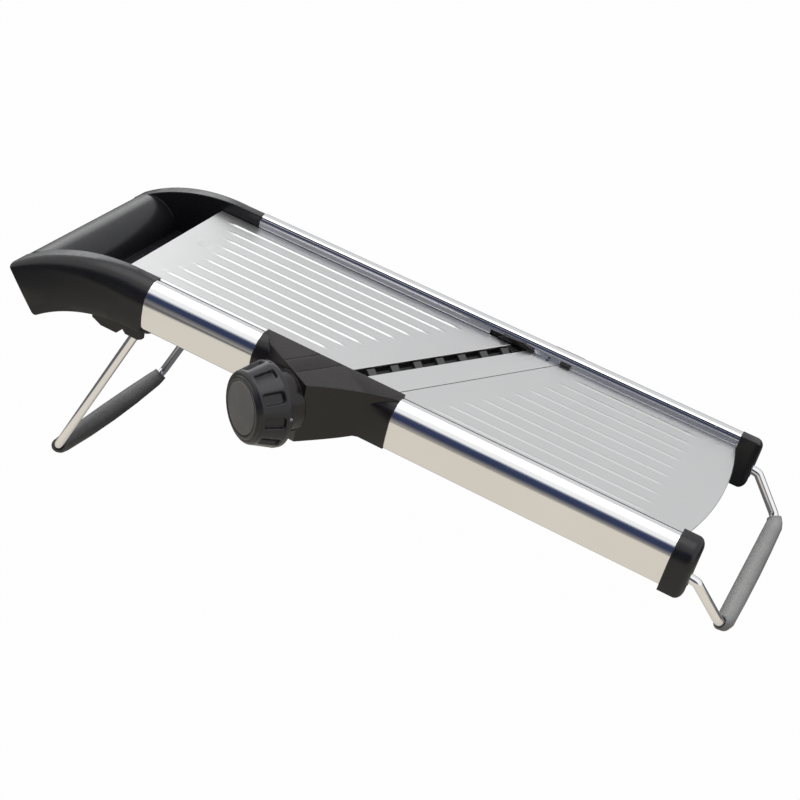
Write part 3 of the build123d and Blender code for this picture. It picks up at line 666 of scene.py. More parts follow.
# ---- Rails ---------------------------------------------------------------
@dataclass
class Rails:
    """Two steel rails; the near one is parted by the knob's housing.

    Attributes:
        half_gap: From the board's middle to a rail's inner face.
        flat: Where the flat top ends, out from the inner face.
        width: Width at the belly.
        waist: Width half way from the belly to the foot.
        foot: Width at the bottom.
        belly: Depth of the widest place.
        height: Of the section.
        shoulder: Point that the rounded top passes, as shares of the way out and down.
        length: Of the far rail.
        housing: Start and end of the near rail's gap.
        edge: Radius of the top's inner edge.
        foot_edge: Radius of the two lower edges.
        spacing: About the distance between sections.
        cam_place: Start and end of the recess for the turning cam.
        cam_room: The recess's depth.
        cam_ease: Length over which it deepens.
        touch: Points nearer to the inner face's plane than this are on it.
    """

    half_gap: float = 50.0
    flat: float = 5.2
    width: float = 13.5
    waist: float = 13.4
    foot: float = 12.6
    belly: float = 13.0
    height: float = 26.0
    shoulder: Pair = (0.68, 0.31)
    length: float = 296.0
    housing: Pair = (66.0, 146.0)
    edge: float = 4.0
    foot_edge: float = 1.2
    spacing: float = 4.0
    cam_place: Pair = (155.0, 172.0)
    cam_room: float = 4.2
    cam_ease: float = 4.0
    touch: float = 0.01

    def rings(self, x0: float, x1: float) -> np.ndarray:
        """The section at evenly spaced places, on the far side.

        Args:
            x0: First end.
            x1: Last end.

        Returns:
            One ring for each place.
        """
        outline = self.closed_outline()
        xs = np.linspace(x0, x1, max(2, int((x1 - x0) / self.spacing)))
        ring = np.empty((len(xs), len(outline), 3))
        ring[..., 0] = xs[:, None]
        ring[..., 1] = self.half_gap + outline[None, :, 0]
        ring[..., 2] = outline[None, :, 1]
        return ring

    def relieve(self, rings: np.ndarray) -> np.ndarray:
        """Pushes the far rail's inner face back where the turning cam comes past it.

        Args:
            rings: The rail's sections.

        Returns:
            The sections, with the face eased back and out again by smooth steps along X.
        """
        x, across, z = rings[..., 0], rings[..., 1] - self.half_gap, rings[..., 2]
        start, end = self.cam_place
        along = (smooth_step((x - start + self.cam_ease) / self.cam_ease)
                 * smooth_step((end + self.cam_ease - x) / self.cam_ease))
        inner = (across < self.touch) & (z < -self.edge) & (z > -self.height + self.foot_edge)
        out = rings.copy()
        out[..., 1] += np.where(inner, self.cam_room * along, 0.0)
        return out

    def closed_outline(self) -> np.ndarray:
        """The section: over the top, down the side, under the foot and up the inner face.

        Returns:
            Points out from the inner face and up from the rail's top. The top and the side are
            arcs through three points, and the small edges are quarter circles.
        """
        e, f, foot = self.edge, self.foot_edge, -self.height + self.foot_edge
        share_out, share_down = self.shoulder
        shoulder = (self.flat + (self.width - self.flat) * share_out, -self.belly * share_down)
        over = arc_through((self.flat, 0), shoulder, (self.width, -self.belly), 34)
        waist = (self.waist, -(self.belly + self.height) / 2)
        arc = arc_through((self.width, -self.belly), waist, (self.foot, -self.height), 40)
        depth = np.linspace(self.belly, self.height - f, 14)[1:]
        side = np.stack([np.interp(depth, -arc[:, 1], arc[:, 0]), -depth], axis=1)
        quarter = np.linspace(0, math.pi / 2, 13)
        small = quarter[::3]
        top_in = np.stack([e - e * np.cos(quarter), -e + e * np.sin(quarter)], axis=1)
        low_out = np.stack([self.foot - f + f * np.cos(small), foot - f * np.sin(small)], axis=1)
        low_in = np.stack([f - f * np.sin(small), foot - f * np.cos(small)], axis=1)
        rise = np.linspace(foot, -e, 12)[1:-1]
        inner = np.stack([np.zeros(len(rise)), rise], axis=1)
        return np.concatenate([top_in, over, side, low_out[1:], low_in, inner])

    def build(self) -> None:
        """Makes and dresses the three lengths of rail."""
        start, end = self.housing
        spans = (("near_rail_upper", 0.0, start, Side.NEAR, "near_rail_upper_sleeve"),
                 ("near_rail_lower", end, self.length, Side.NEAR, "near_rail_lower_sleeve"),
                 ("far_rail", 0.0, self.length, Side.FAR, "far_rail_sleeve"))
        for name, x0, x1, side, node in spans:
            rings = self.rings(x0, x1)
            if side is Side.FAR:
                rings = self.relieve(rings)
            rail = tube_object(name, side.of(rings), sharp_deg=30.0)
            settle(rail, "frame", "rail_steel", "rail_steel", node)


# ---- Plates --------------------------------------------------------------
@dataclass(frozen=True)
class CutFrame:
    """The frame of the slanted cut: X along the blade's edge, Y square to it, up the board.

    Attributes:
        start: Its origin on the board.
        angle: Its turn from the board's X, in radians.
    """

    start: Pair = (109.9, -50.0)
    angle: float = math.radians(59.3)

    def to_board(self, points: np.ndarray) -> np.ndarray:
        """Turns points by the cut's angle and moves them to its start.

        Args:
            points: Array whose last axis is x, y, z in the cut's frame.

        Returns:
            The same points on the board.
        """
        c, s = math.cos(self.angle), math.sin(self.angle)
        x, y, z = points[..., 0], points[..., 1], points[..., 2]
        return np.stack([self.start[0] + x * c - y * s, self.start[1] + x * s + y * c, z], axis=-1)

    def line_x(self, y: np.ndarray, offset: float) -> np.ndarray:
        """X on a line beside the slot's middle, offset square to it, down the board."""
        s, c = math.sin(self.angle), math.cos(self.angle)
        return self.start[0] + (y - self.start[1]) / s * c + offset / s


CUT = CutFrame()


@dataclass
class Plates:
    """The two pressed steel plates with their long ridges.

    Attributes:
        half_width: Half of the landing plate's width.
        thick: Thickness of the sheet.
        edge: Width and depth of the eased rims.
        slot_half: From the slot's middle to the runway's lower edge.
        blade_back: From the slot's middle to the blade's back.
        blade_gap: From the blade's back to the landing plate.
        runway_start: X of the runway's upper end.
        runway_depth: Depth of its face below the rails' top.
        runway_gap: From its sides to the rails.
        landing_depth: Depth of the landing plate's face below the rails' top.
        landing_end: X of the middle of its end.
        landing_round: Radius of its end.
        pitch: From ridge to ridge.
        count: Number of ridges on each plate.
        ridge_half: Half of a ridge's width.
        ridge_height: Height of the runway's ridges.
        landing_share: Height of the landing plate's ridges, as a share of that.
        ridge_sharpness: Power that narrows a ridge's crest.
        ramp: Length over which a ridge rises.
        ridge_start: X of the middle ridges' upper ends on the runway.
        ridge_bow: How the other ridges start earlier, over Y squared.
        ridge_to_slot: From the runway's ridges to its lower edge.
        ridge_from_blade: From the blade's back to the landing plate's ridges.
        ridge_end: X of their lower ends.
        arc_centre: Centre of the shallow arc pressed into the runway.
        arc_radius: Its radius.
        arc_half: Half of its groove's width.
        arc_depth: Its groove's depth.
        arc_fade: Length over which it ends.
    """

    half_width: float = 50.0
    thick: float = 1.0
    edge: float = 0.3
    slot_half: float = 4.2
    blade_back: float = 20.3
    blade_gap: float = 0.3
    runway_start: float = -25.0
    runway_depth: float = 6.9
    runway_gap: float = 0.6
    landing_depth: float = 6.1
    landing_end: float = 302.5
    landing_round: float = 182.0
    pitch: float = 9.05
    count: int = 10
    ridge_half: float = 1.8
    ridge_height: float = 0.6
    landing_share: float = 0.5
    ridge_sharpness: float = 1.6
    ramp: float = 6.0
    ridge_start: float = -2.6
    ridge_bow: float = 0.0075
    ridge_to_slot: float = 18.5
    ridge_from_blade: float = 14.0
    ridge_end: float = 278.5
    arc_centre: Pair = (-9.0, 14.0)
    arc_radius: float = 8.0
    arc_half: float = 0.45
    arc_depth: float = 0.18
    arc_fade: float = 3.0

    def nearest_line(self, y: np.ndarray) -> np.ndarray:
        """Y of the ridge nearest to each Y."""
        middle = (self.count - 1) / 2
        return (np.clip(np.round(y / self.pitch + middle), 0, self.count - 1) - middle) * self.pitch

    def ridges(self, x: np.ndarray, y: np.ndarray, start: Values, end: Values) -> np.ndarray:
        """Height of the ridges: a power of a raised cosine across each, eased at its ends.

        Args:
            x: Board X of the points.
            y: Board Y of the points.
            start: Where the nearest ridge starts.
            end: Where it ends.

        Returns:
            Height above the plate.
        """
        across = np.clip(np.abs(y - self.nearest_line(y)) / self.ridge_half, 0, 1)
        profile = (0.5 + 0.5 * np.cos(math.pi * across)) ** self.ridge_sharpness
        along = smooth_step((x - start) / self.ramp) * smooth_step((end - x) / self.ramp)
        return self.ridge_height * profile * along

    def ys(self, gap: float) -> np.ndarray:
        """Y of the grid's lines: fine across each ridge, coarse between them.

        Args:
            gap: From the plate's sides to the rails.

        Returns:
            The lines' places, in order.
        """
        across = np.linspace(-1.0, 1.0, 15) * self.ridge_half
        middle = (self.count - 1) / 2
        lines = [(i - middle) * self.pitch + across for i in range(self.count)]
        side = self.half_width - gap
        edges = np.array([-side, -side + self.edge, side - self.edge, side])
        return np.unique(np.concatenate([edges, *lines]))

    def grid(self, y: np.ndarray, start: Values, stop: np.ndarray, rows: int, rims: Pair,
             ) -> Tuple[np.ndarray, np.ndarray]:
        """Grid over a plate: evenly spaced from end to end along each Y, with a row by each rim.

        Args:
            y: The lines' places.
            start: Where each line starts.
            stop: Where it stops.
            rows: Number of even rows.
            rims: Shares of the way at which the rows by the rims lie.

        Returns:
            Board X and Y of the grid.
        """
        share = np.unique(np.concatenate([np.linspace(0, 1, rows), rims]))[:, None]
        return start + share * (stop - start)[None], np.repeat(y[None], len(share), axis=0)

    def plate(self, name: str, x: np.ndarray, y: np.ndarray, height: np.ndarray, depth: float,
              ) -> bpy.types.Object:
        """Closed sheet: a top grid with lowered rims, and the same grid under it.

        Args:
            name: The piece's name.
            x: Board X of the grid.
            y: Board Y of the grid.
            height: Relief above the plate's face.
            depth: Depth of the face below the rails' top.

        Returns:
            The sheet.
        """
        top = np.stack([x, y, height - depth], axis=-1)
        low = np.stack([x, y, np.full_like(x, -depth - self.thick)], axis=-1)
        for edge in (top[0], top[-1], top[:, 0], top[:, -1]):
            edge[..., 2] -= self.edge
        rows, cols = x.shape
        points = np.concatenate([top.reshape(-1, 3), low.reshape(-1, 3)])
        up = grid_faces(rows, cols, False)
        number = np.arange(rows * cols).reshape(rows, cols)
        rim = np.concatenate([number[:, 0], number[-1, 1:], number[-2::-1, -1], number[0, -2:0:-1]])
        under = rim + rows * cols
        walls = np.stack([rim, under, np.roll(under, -1), np.roll(rim, -1)], axis=1)
        faces = [up, up[:, ::-1] + rows * cols, walls]
        if signed_volume(points, np.concatenate(faces)) < 0:
            faces = [block[:, ::-1] for block in faces]
        return new_object(name, points, faces, sharp_deg=34.0)

    def runway(self) -> bpy.types.Object:
        """Upper plate: its lower edge follows the slot.

        Returns:
            The plate. Its groove is a bell curve of the distance from a circle, faded out on
            one side.
        """
        y = self.ys(self.runway_gap)
        line = self.nearest_line(y)
        start = self.ridge_start - self.ridge_bow * line ** 2
        end = CUT.line_x(line, -self.slot_half - self.ridge_to_slot)
        stop = CUT.line_x(y, -self.slot_half)
        x, across = self.grid(y, self.runway_start, stop, rows=100, rims=(0.002, 0.998))
        height = self.ridges(x, across, start[None], end[None])
        middle_x, middle_y = self.arc_centre
        off_arc = np.hypot(x - middle_x, across - middle_y) - self.arc_radius
        fade = smooth_step((middle_y - across) / self.arc_fade)
        height -= self.arc_depth * np.exp(-(off_arc / self.arc_half) ** 2) * fade
        return self.plate("runway_plate_pressed", x, across, height, self.runway_depth)

    def landing(self) -> bpy.types.Object:
        """Lower plate: it starts behind the blade and ends in a wide arc.

        Returns:
            The plate. X of its end is the arc's centre plus a root of the radius squared less
            Y squared.
        """
        y = self.ys(0.0)
        line = self.nearest_line(y)
        start = CUT.line_x(line, self.blade_back + self.ridge_from_blade)
        stop = self.landing_end - self.landing_round + np.sqrt(self.landing_round ** 2 - y ** 2)
        first = CUT.line_x(y, self.blade_back + self.blade_gap)
        x, across = self.grid(y, first, stop, rows=110, rims=(0.002, 0.997))
        height = self.landing_share * self.ridges(x, across, start[None], self.ridge_end)
        return self.plate("landing_plate_pressed", x, across, height, self.landing_depth)

    def build(self) -> None:
        """Makes and dresses both plates."""
        settle(self.runway(), "runway", "plate_steel", "plate_steel", "runway_plate")
        settle(self.landing(), "frame", "plate_steel", "plate_steel", "landing_plate")


# ---- Knob ----------------------------------------------------------------
@dataclass
class Knob:
    """Fluted thickness knob: a tapered side with rounded slots, a rim ring and a face disc.

    Attributes:
        base: Back of the knob, along its axis from the cut frame's origin.
        nose: Front of the knob.
        shaft_depth: Depth of the axis below the rails' top.
        radius: At the back.
        shoulder: Radius at the front.
        band: Length of the plain band at the back.
        band_line: From a line of points near the band's end to that end.
        rim: Length of the rounded front.
        back_round: Radius of the back's edge.
        crown: Middle and end of the front's arc, back from the nose and in from the shoulder.
        groove: Points of the groove behind the ring, measured likewise.
        ring: Points of the ring's arc, measured likewise.
        lip: Points of the recess's edge, back from the nose and out from the recess.
        inner: Radii of two rings of points on the flat back; the recess has the first one.
        columns: Number of points round the skin.
        disc_radius: Of the recess.
        disc_thick: Depth of the recess, which the disc fills.
        disc_proud: How far the disc stands out of the nose.
        disc_round: Radius of the disc's edge.
        disc_gap: Round the disc.
        flutes: Number of slots.
        first: Turn of the first slot, in radians.
        flute_width: Width of a slot.
        flute_depth: Depth of a slot.
        flute_corner: Radius of its corners.
        flute_inset: From the slots' ends to the tapered side's.
        wall: Width of its sloping walls.
        mark_radius: Of a mark.
        mark_height: Of a mark.
        mark_sunk: How deep its foot lies in the rim.
        pointer: Place of the dark mark: along the axis, and its turn from upright.
        dial_dot: Place of the grey mark.
    """

    base: float = 37.8
    nose: float = 54.4
    shaft_depth: float = 16.5
    radius: float = 21.9
    shoulder: float = 18.6
    band: float = 2.6
    band_line: float = 0.35
    rim: float = 2.6
    back_round: float = 0.6
    crown: Tuple[Pair, ...] = ((1.25, 0.75), (0.75, 1.9))
    groove: Tuple[Pair, ...] = ((1.05, 2.15), (1.05, 2.4))
    ring: Tuple[Pair, ...] = ((0.6, 2.6), (0.1, 3.0), (0.0, 3.6))
    lip: Tuple[Pair, ...] = ((0.0, 0.35), (0.12, 0.1), (0.4, 0.0))
    inner: Pair = (6.0, 18.0)
    columns: int = 640
    disc_radius: float = 13.6
    disc_thick: float = 1.6
    disc_proud: float = 0.2
    disc_round: float = 0.35
    disc_gap: float = 0.1
    flutes: int = 10
    first: float = math.radians(9.0)
    flute_width: float = 6.4
    flute_depth: float = 2.1
    flute_corner: float = 1.6
    flute_inset: float = 0.4
    wall: float = 0.7
    mark_radius: float = 0.8
    mark_height: float = 0.22
    mark_sunk: float = 0.5
    pointer: Pair = (39.6, math.radians(-14.0))
    dial_dot: Pair = (38.9, math.radians(76.0))

    @property
    def taper(self) -> Pair:
        """Start and end of the tapered side, along the axis."""
        return self.base + self.band, self.nose - self.rim

    def to_board(self, along: Values, radius: Values, turn: Values) -> np.ndarray:
        """Points about the knob's axis.

        Args:
            along: Distance out along the axis.
            radius: Distance from it.
            turn: Turn about it from upright.

        Returns:
            The points on the board.
        """
        along, radius, turn = np.broadcast_arrays(along, radius, turn)
        local = np.stack([-along, -radius * np.sin(turn), radius * np.cos(turn) - self.shaft_depth],
                         axis=-1)
        return CUT.to_board(local)

    def profile(self) -> np.ndarray:
        """Outline from the back's middle, round the knob, to the middle of the disc's recess.

        Returns:
            Distance along the axis and radius of each point.
        """
        start, end = self.taper
        near, far = self.inner
        r = self.back_round

        def inset(points: Sequence[Pair]) -> List[Pair]:
            """Points given back from the nose and in from the shoulder."""
            return [(self.nose - back, self.shoulder - into) for back, into in points]

        back = [(self.base, radius) for radius in (0.0, near, far, self.radius - r)]
        turned = [(self.base + r - r * math.cos(a), self.radius - r + r * math.sin(a))
                  for a in np.linspace(0, math.pi / 2, 6)]
        side = [(start + t * (end - start), self.radius + t * (self.shoulder - self.radius))
                for t in np.linspace(0, 1, 66)]
        crown = arc_through((end, self.shoulder), *inset(self.crown), 9)
        ring = arc_through(*inset(self.ring), 6)
        lip = [(self.nose - back, self.disc_radius + out) for back, out in self.lip]
        floor = [(self.nose - self.disc_thick, radius) for radius in (self.disc_radius, near, 0.0)]
        return np.array([*back, *turned, (start - self.band_line, self.radius), *side,
                         *crown[1:], *inset(self.groove), *ring, *lip, *floor])

    def slot_depth(self, along: np.ndarray, radius: np.ndarray, turn: np.ndarray) -> np.ndarray:
        """Depth of the slots at points about the axis.

        Args:
            along: Distance out along the axis.
            radius: Distance from it.
            turn: Turn about it from upright.

        Returns:
            The depth: the distance inside a rounded rectangle on the side, eased over the wall.
        """
        start, end = self.taper
        pitch = 2 * math.pi / self.flutes
        off = (turn - self.first + pitch / 2) % pitch - pitch / 2
        half = (end - start) / 2 - self.flute_inset
        u = np.abs(along - (start + end) / 2) - half + self.flute_corner
        v = np.abs(off * radius) - self.flute_width / 2 + self.flute_corner
        outside = np.hypot(np.maximum(u, 0), np.maximum(v, 0)) + np.minimum(np.maximum(u, v), 0)
        return self.flute_depth * smooth_step((self.flute_corner - outside) / self.wall)

    def body(self) -> bpy.types.Object:
        """The knob's skin, on a grid of turn and outline, closed by a fan at each end.

        Returns:
            The skin.
        """
        line = self.profile()
        turn = full_turn(self.columns)
        along, radius = line[1:-1, :1], line[1:-1, 1:]
        grid = self.to_board(along, radius - self.slot_depth(along, radius, turn), turn)
        rows, cols = grid.shape[:2]
        points = np.concatenate([grid.reshape(-1, 3), self.to_board(line[[0, -1], 0], 0.0, 0.0)])
        ring = np.arange(cols)
        ahead = np.roll(ring, -1)
        end = (rows - 1) * cols
        faces = [grid_faces(rows, cols, True),
                 np.stack([np.full(cols, rows * cols), ahead, ring], axis=1),
                 np.stack([np.full(cols, rows * cols + 1), end + ring, end + ahead], axis=1)]
        if signed_volume(points, faces[0]) < 0:
            faces = [block[:, ::-1] for block in faces]
        return new_object("knob_grip", points, faces, sharp_deg=40.0)

    def disc(self) -> bpy.types.Object:
        """Flat face disc with a rounded edge, slightly proud of the nose.

        Returns:
            The disc.
        """
        r = self.disc_round
        front, side = self.nose + self.disc_proud - r, self.disc_radius - self.disc_gap
        edge = [(front + r * math.sin(a), side - r + r * math.cos(a))
                for a in np.linspace(0, math.pi / 2, 5)]
        outline = np.array([(self.nose - self.disc_thick, side), *edge])
        rings = self.to_board(outline[:, :1], outline[:, 1:], full_turn(96))
        return tube_object("knob_face", rings, sharp_deg=50.0)

    def mark(self, name: str, place: Pair) -> bpy.types.Object:
        """Small low dome on the knob's rim.

        Args:
            name: The piece's name.
            place: Where it is along the knob's axis, and its turn from upright.

        Returns:
            The dome. Its rings shrink as the sine of an angle while they rise as its cosine,
            and the lowest one is sunk below the rim.
        """
        along, turn = place
        lean = np.linspace(math.pi / 2, 0.12, 7)[:, None]
        around = full_turn(24)
        spread, rise = self.mark_radius * np.sin(lean), self.mark_height * np.cos(lean)
        spread, rise = np.vstack([spread[:1], spread]), np.vstack([rise[:1] - self.mark_sunk, rise])
        rings = self.to_board(along + spread * np.cos(around), self.radius + rise,
                              turn + spread * np.sin(around) / self.radius)
        return tube_object(name, rings, sharp_deg=40.0)

    def build(self) -> None:
        """Makes and dresses the knob's skin, its disc and its two plain marks."""
        settle(self.mark("pointer_dot", self.pointer), "knob", "knob_black", "inner_black")
        settle(self.mark("dial_dot", self.dial_dot), "knob", "knob_black", "mark_grey")
        settle(self.body(), "knob", "knob_black", "knob_black", "knob_body")
        settle(self.disc(), "knob", "disc_grey", "disc_grey", "knob_disc")


# ---- Mouldings -----------------------------------------------------------
@dataclass
class Mouldings:
    """Black mouldings, rubber pads and teeth, with their edges rounded.

    Attributes:
        pieces: For each one, the node, the piece's name, its body, its finish and the width of
            its rounded edges.
    """

    pieces: Tuple[Tuple[str, str, str, str, float], ...] = (
        ("handle", "handle_moulding", "frame", "gloss_black", 0.9),
        ("knob_housing", "housing_moulding", "frame", "housing_black", 1.2),
        ("near_end_cap", "near_cap_moulding", "frame", "gloss_black", 0.5),
        ("far_end_cap", "far_cap_moulding", "frame", "gloss_black", 0.5),
        ("rear_leg_bracket", "bracket_moulding", "frame", "gloss_black", 0.4),
        ("far_blade_guide", "guide_moulding", "frame", "gloss_black", 0.2),
        ("comb_teeth", "comb_tooth_row", "comb", "tooth_steel", 0.15),
        ("rear_foot_pad", "rear_pad_sleeve", "rear_leg", "pad_dark", 0.4),
        ("front_foot_pad", "front_pad_sleeve", "front_leg", "pad_grey", 0.4),
    )

    def build(self) -> None:
        """Copies each moulding, rounds its edges and dresses it."""
        for node, name, body, finish, edge in self.pieces:
            obj = merged_copy(node, name)
            bevelled(obj, edge)
            settle(obj, body, SLOTS[node], finish)


# ---- Wires ---------------------------------------------------------------
@dataclass
class Wires:
    """Two bent wire legs. Places are X and depth on the board.

    Attributes:
        radius: Of the wire.
        rear_pivot: Axis of the rear leg.
        rear_foot: Its lower bend.
        rear_half: Half of its width.
        rear_reach: Length of its turned-in ends.
        front_pivot: Axis of the front leg.
        front_knee: Its upper bend.
        front_foot: Its lower bend.
        rail_axis: Half of its width at the pivot.
        front_half: Half of its width at the foot.
        front_reach: Length of its turned-in ends.
        bend: Radius of the feet's bends.
        pivot_bend: Radius of the other bends.
    """

    radius: float = 2.5
    rear_pivot: Pair = (-5.5, 31.0)
    rear_foot: Pair = (-49.5, 137.5)
    rear_half: float = 53.0
    rear_reach: float = 8.0
    front_pivot: Pair = (301.0, 18.0)
    front_knee: Pair = (311.5, 19.6)
    front_foot: Pair = (330.3, 39.3)
    rail_axis: float = 56.21
    front_half: float = 52.6
    front_reach: float = 5.0
    bend: float = 7.0
    pivot_bend: float = 3.0

    def wire(self, name: str, route: Sequence[Triple], radii: Sequence[float]) -> bpy.types.Object:
        """Round wire along a route and back along its mirror image.

        Args:
            name: The piece's name.
            route: Corners from one end to the last bend, as X, Y and depth.
            radii: One radius for each bend.

        Returns:
            The wire.
        """
        half = [(x, y, -depth) for x, y, depth in route]
        points = half + [(x, -y, z) for x, y, z in reversed(half)]
        path = bent_path(points, [*radii, *reversed(radii)], count=16)
        return tube_object(name, sweep_rings(path, circle(self.radius, 32)), sharp_deg=50.0)

    def build(self) -> None:
        """Makes and dresses both legs."""
        (px, pd), (fx, fd) = self.rear_pivot, self.rear_foot
        side = self.rear_half
        rear = self.wire("rear_leg_bent_wire",
                         [(px, side - self.rear_reach, pd), (px, side, pd), (fx, side, fd)],
                         (self.pivot_bend, self.bend))
        settle(rear, "rear_leg", "wire_chrome", "wire_chrome", "rear_leg_wire")
        (px, pd), (kx, kd), (fx, fd) = self.front_pivot, self.front_knee, self.front_foot
        side = self.rail_axis
        front = self.wire("front_leg_bent_wire",
                          [(px, side - self.front_reach, pd), (px, side, pd), (kx, side, kd),
                           (fx, self.front_half, fd)],
                          (self.pivot_bend, self.pivot_bend, self.bend))
        settle(front, "front_leg", "wire_chrome", "wire_chrome", "front_leg_wire")


# ---- Slot shade bar (painted shade) --------------------------------------
@dataclass
class SlotShadeBar:
    """Black bar below the runway's lower edge, painted shade: it stands in for the shade that closes the view
    under the slot.

    Attributes:
        near: From the slot's middle to its nearer face, up the board.
        far: From the slot's middle to its other face.
        top: Depth of its top.
        bottom: Depth of its bottom.
        reach: Half of its length before it is cut off.
        side: Half of the width between the rails that it fills.
    """

    near: float = 8.8
    far: float = 10.2
    top: float = 10.7
    bottom: float = 18.0
    reach: float = 140.0
    side: float = 49.2

    def build(self) -> None:
        """Makes one black bar of painted shade along the slot, cut off in line with the rails."""
        corners = np.array([(x, y, z) for z in (-self.bottom, -self.top)
                            for x, y in ((-self.reach, self.near), (self.reach, self.near),
                                         (self.reach, self.far), (-self.reach, self.far))])
        bar = CUT.to_board(corners)
        edge_y = np.clip(bar[:, 1], -self.side, self.side)
        bar[:, 0] += (edge_y - bar[:, 1]) / math.tan(CUT.angle)
        bar[:, 1] = edge_y
        faces = np.array([(3, 2, 1, 0), (4, 5, 6, 7), (0, 1, 5, 4), (1, 2, 6, 5), (2, 3, 7, 6),
                          (3, 0, 4, 7)])
        shade_bar = new_object("slot_shade_bar", bar, [faces], sharp_deg=30.0)
        # Painted shade: a black sheet where there is only shade under the slot.
        settle(shade_bar, "runway", "frame_plastic", "inner_black")


# ---- Studio --------------------------------------------------------------
WHITE = (1.0, 1.0, 1.0)


@dataclass
class Studio:
    """Pale floor with a painted glow and shadow for gloss, soft light from above and the camera.

    Attributes:
        camera_at: Place of the camera, in metres.
        camera_turn: Its turn about X, Y and Z, in degrees.
        lens: Its focal length, in millimetres.
        sensor: Width of its sensor, in millimetres.
        shift: Small shift of its view, as shares of the width.
        floor_half: Half of the floor's width, in metres.
        floor_grey: What light and shadow fall on.
        floor_clear: How much of the floor is plain white to the camera.
        floor_front: Painted glow, the cream that gloss sees on the floor in front of the object.
        floor_under: Painted shadow, the dim colour that gloss sees on the floor under, behind and far left of the
            object.
        fade_y: Where gloss sees the front glow pass into the painted shadow, along the floor's Y, in metres.
        fade_x: Where the painted shadow takes over towards the floor's left end, along its X.
        sky_top: Light from above.
        sky_back: Light from behind.
        lit: Where the light from above passes into the light from behind, as Y of a direction.
        dark: Where the dark side passes into the light, as Y of a direction.
        corner: Where the dark side's left corner passes into the rest, as X of a direction.
        corner_grey: Colour of that corner.
        dark_side: Colours of the dark side, by Z of a direction.
    """

    camera_at: Triple = (0.32337, -0.61962, 0.42998)
    camera_turn: Triple = (62.3, 0.4966, 26.1685)
    lens: float = 67.5
    sensor: float = 36.0
    shift: Pair = (-0.009795, 0.008903)
    floor_half: float = 6.0
    floor_grey: Triple = (0.16, 0.16, 0.16)
    floor_clear: float = 0.985
    floor_front: Triple = (0.75, 0.70, 0.61)
    floor_under: Triple = (0.13, 0.13, 0.14)
    fade_y: Pair = (-0.06, 0.03)
    fade_x: Pair = (-0.42, -0.27)
    sky_top: Triple = WHITE
    sky_back: Triple = (0.76, 0.765, 0.77)
    lit: Pair = (0.25, 0.60)
    dark: Pair = (-0.74, -0.60)
    corner: Pair = (-0.50, -0.38)
    corner_grey: Triple = (0.03, 0.033, 0.045)
    dark_side: Tuple[Tuple[float, Triple], ...] = (
        (0.0, (0.42, 0.39, 0.34)), (0.16, (0.20, 0.20, 0.21)), (0.34, (0.035, 0.045, 0.09)),
        (0.62, (0.03, 0.045, 0.11)), (0.80, (0.06, 0.075, 0.13)), (1.0, (0.12, 0.14, 0.20)))

    def camera(self) -> None:
        """Places the camera."""
        data = bpy.data.cameras.new("camera")
        data.lens, data.sensor_width, data.sensor_fit = self.lens, self.sensor, "HORIZONTAL"
        data.shift_x, data.shift_y = self.shift
        data.clip_start = 0.01
        obj = add_object("camera", data)
        obj.location = self.camera_at
        obj.rotation_euler = tuple(math.radians(a) for a in self.camera_turn)
        bpy.context.scene.camera = obj

    def lamp(self, name: str, at: Triple, size: Pair, power: float, aim: Triple = (0.0, 0.0, 0.06),
             ) -> bpy.types.Object:
        """Soft rectangular lamp.

        Args:
            name: The lamp's name.
            at: Its place, in metres.
            size: Its width and height, in metres.
            power: In watts.
            aim: The point that it faces.

        Returns:
            The lamp.
        """
        data = bpy.data.lights.new(name, "AREA")
        data.shape, data.energy = "RECTANGLE", power
        data.size, data.size_y = size
        obj = add_object(name, data)
        obj.location = at
        obj.rotation_euler = (Vector(aim) - Vector(at)).to_track_quat("-Z", "Y").to_euler()
        return obj

    def floor_material(self) -> bpy.types.Material:
        """White floor that keeps a faint shadow; to gloss it shows a painted glow, cream in front, and a painted
        shadow, dim behind, under and far left of the object.

        Returns:
            The material. Each kind of ray takes its own share of a glow over the grey: plain white for the camera,
            and the painted glow and shadow for gloss.
        """
        material = bpy.data.materials.new("floor_white")
        material.use_nodes = True
        tree = material.node_tree
        base = feed(tree.nodes["Principled BSDF"], Base_Color=self.floor_grey, Roughness=1.0,
                    Specular_IOR_Level=0.0)
        place = add_node(tree, "SeparateXYZ", Vector=coordinates(tree, "Object"))
        # Painted glow and shadow for gloss: cream in front of the object, dim where its shadow would fall under,
        # behind and left of it.
        glow_and_shadow = graded(place.outputs["Y"], self.fade_y, self.floor_front, self.floor_under)
        glow_and_shadow = graded(place.outputs["X"], self.fade_x, self.floor_under, glow_and_shadow)
        path = add_node(tree, "LightPath")
        shader = base.outputs["BSDF"]
        for ray, colour, share in (("Is Glossy Ray", glow_and_shadow, 1.0),
                                   ("Is Camera Ray", WHITE, self.floor_clear)):
            amount = add_node(tree, "Math")
            amount.operation = "MULTIPLY"
            attach(amount.inputs[0], path.outputs[ray])
            attach(amount.inputs[1], share)
            mix = add_node(tree, "MixShader", Fac=amount.outputs[0])
            attach(mix.inputs[1], shader)
            attach(mix.inputs[2], add_node(tree, "Emission", Color=colour).outputs[0])
            shader = mix.outputs[0]
        feed(tree.nodes["Material Output"], Surface=shader)
        return material

    def floor(self) -> None:
        """Lays the floor."""
        mesh = bpy.data.meshes.new("floor")
        s = self.floor_half
        mesh.from_pydata([(-s, -s, 0), (s, -s, 0), (s, s, 0), (-s, s, 0)], [], [(0, 1, 2, 3)])
        mesh.materials.append(self.floor_material())
        add_object("floor", mesh)

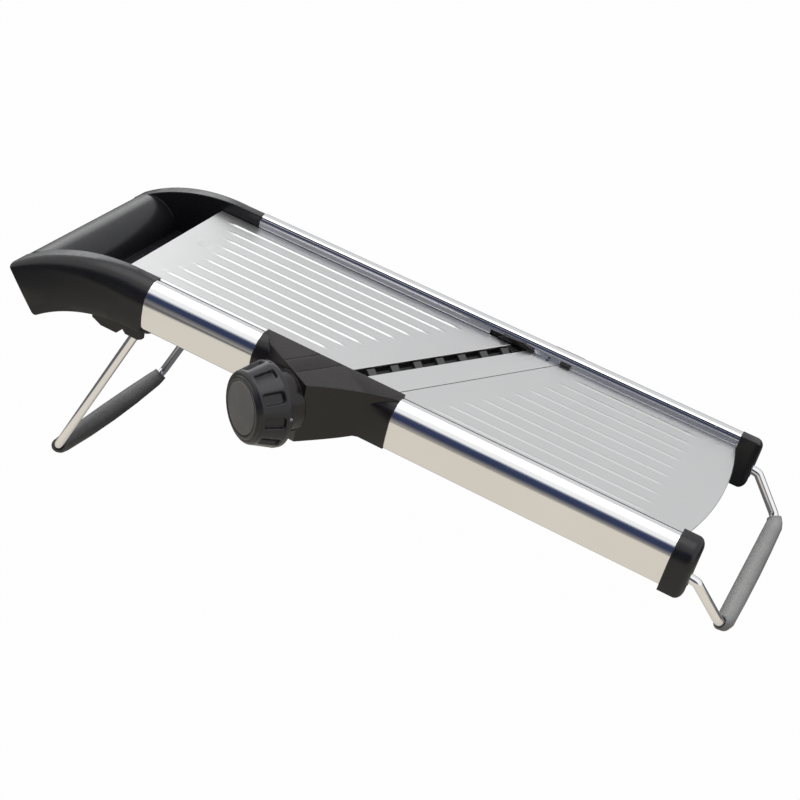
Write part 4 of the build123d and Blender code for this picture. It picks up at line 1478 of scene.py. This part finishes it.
    def world(self) -> None:
        """Pale surroundings with one dark side, which polished metal and gloss reflect."""
        world = bpy.data.worlds.new("studio")
        world.use_nodes = True
        bpy.context.scene.world = world
        tree = world.node_tree
        way = add_node(tree, "SeparateXYZ", Vector=coordinates(tree, "Generated"))
        ramp = add_node(tree, "ValToRGB", Fac=way.outputs["Z"])
        stops = ramp.color_ramp.elements
        for stop, (place, colour) in zip(stops, (self.dark_side[0], self.dark_side[-1])):
            stop.position, stop.color = place, (*colour, 1)
        for place, colour in self.dark_side[1:-1]:
            stops.new(place).color = (*colour, 1)
        side = graded(way.outputs["X"], self.corner, self.corner_grey, ramp.outputs["Color"])
        lit = graded(way.outputs["Y"], self.lit, self.sky_top, self.sky_back)
        sky = graded(way.outputs["Y"], self.dark, side, lit)
        camera_ray = add_node(tree, "LightPath").outputs["Is Camera Ray"]
        feed(tree.nodes["Background"], Color=graded(camera_ray, (0.0, 1.0), sky, WHITE), Strength=1.0)

    def build(self) -> None:
        """Sets the stage."""
        bpy.context.scene.view_settings.view_transform = "Standard"
        self.camera()
        self.floor()
        self.world()
        self.lamp("overhead", (0.0, -0.12, 1.3), (1.4, 0.68), power=3.1, aim=(0.0, -0.12, 0.0))
        self.lamp("back_left", (-0.95, 1.05, 0.8), (0.7, 0.6), power=1.9)
        fill = self.lamp("back_fill", (-0.1, 0.9, 1.1), (1.4, 0.8), power=18.0)
        fill.visible_glossy = False


# ---- Nodes that keep their shape -----------------------------------------
@dataclass
class Carried:
    """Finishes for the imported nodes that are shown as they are.

    Attributes:
        finishes: The finish of each slot whose finish has another name.
    """

    finishes: Dict[str, str] = field(default_factory=lambda: {
        "moulded_black": "gloss_black", "frame_plastic": "inner_black"})

    def build(self) -> None:
        """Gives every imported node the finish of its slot."""
        for name, obj in frame["nodes"].items():
            slot = SLOTS[name]
            dress(obj, self.finishes.get(slot, slot))
            log.info("node %s: %s", name, slot)


def main() -> None:
    """Builds the slicer's looks in order."""
    Studio().build()
    Carried().build()
    Rails().build()
    Plates().build()
    SlotShadeBar().build()
    Knob().build()
    Mouldings().build()
    Wires().build()


if __name__ == "__main__":
    main()
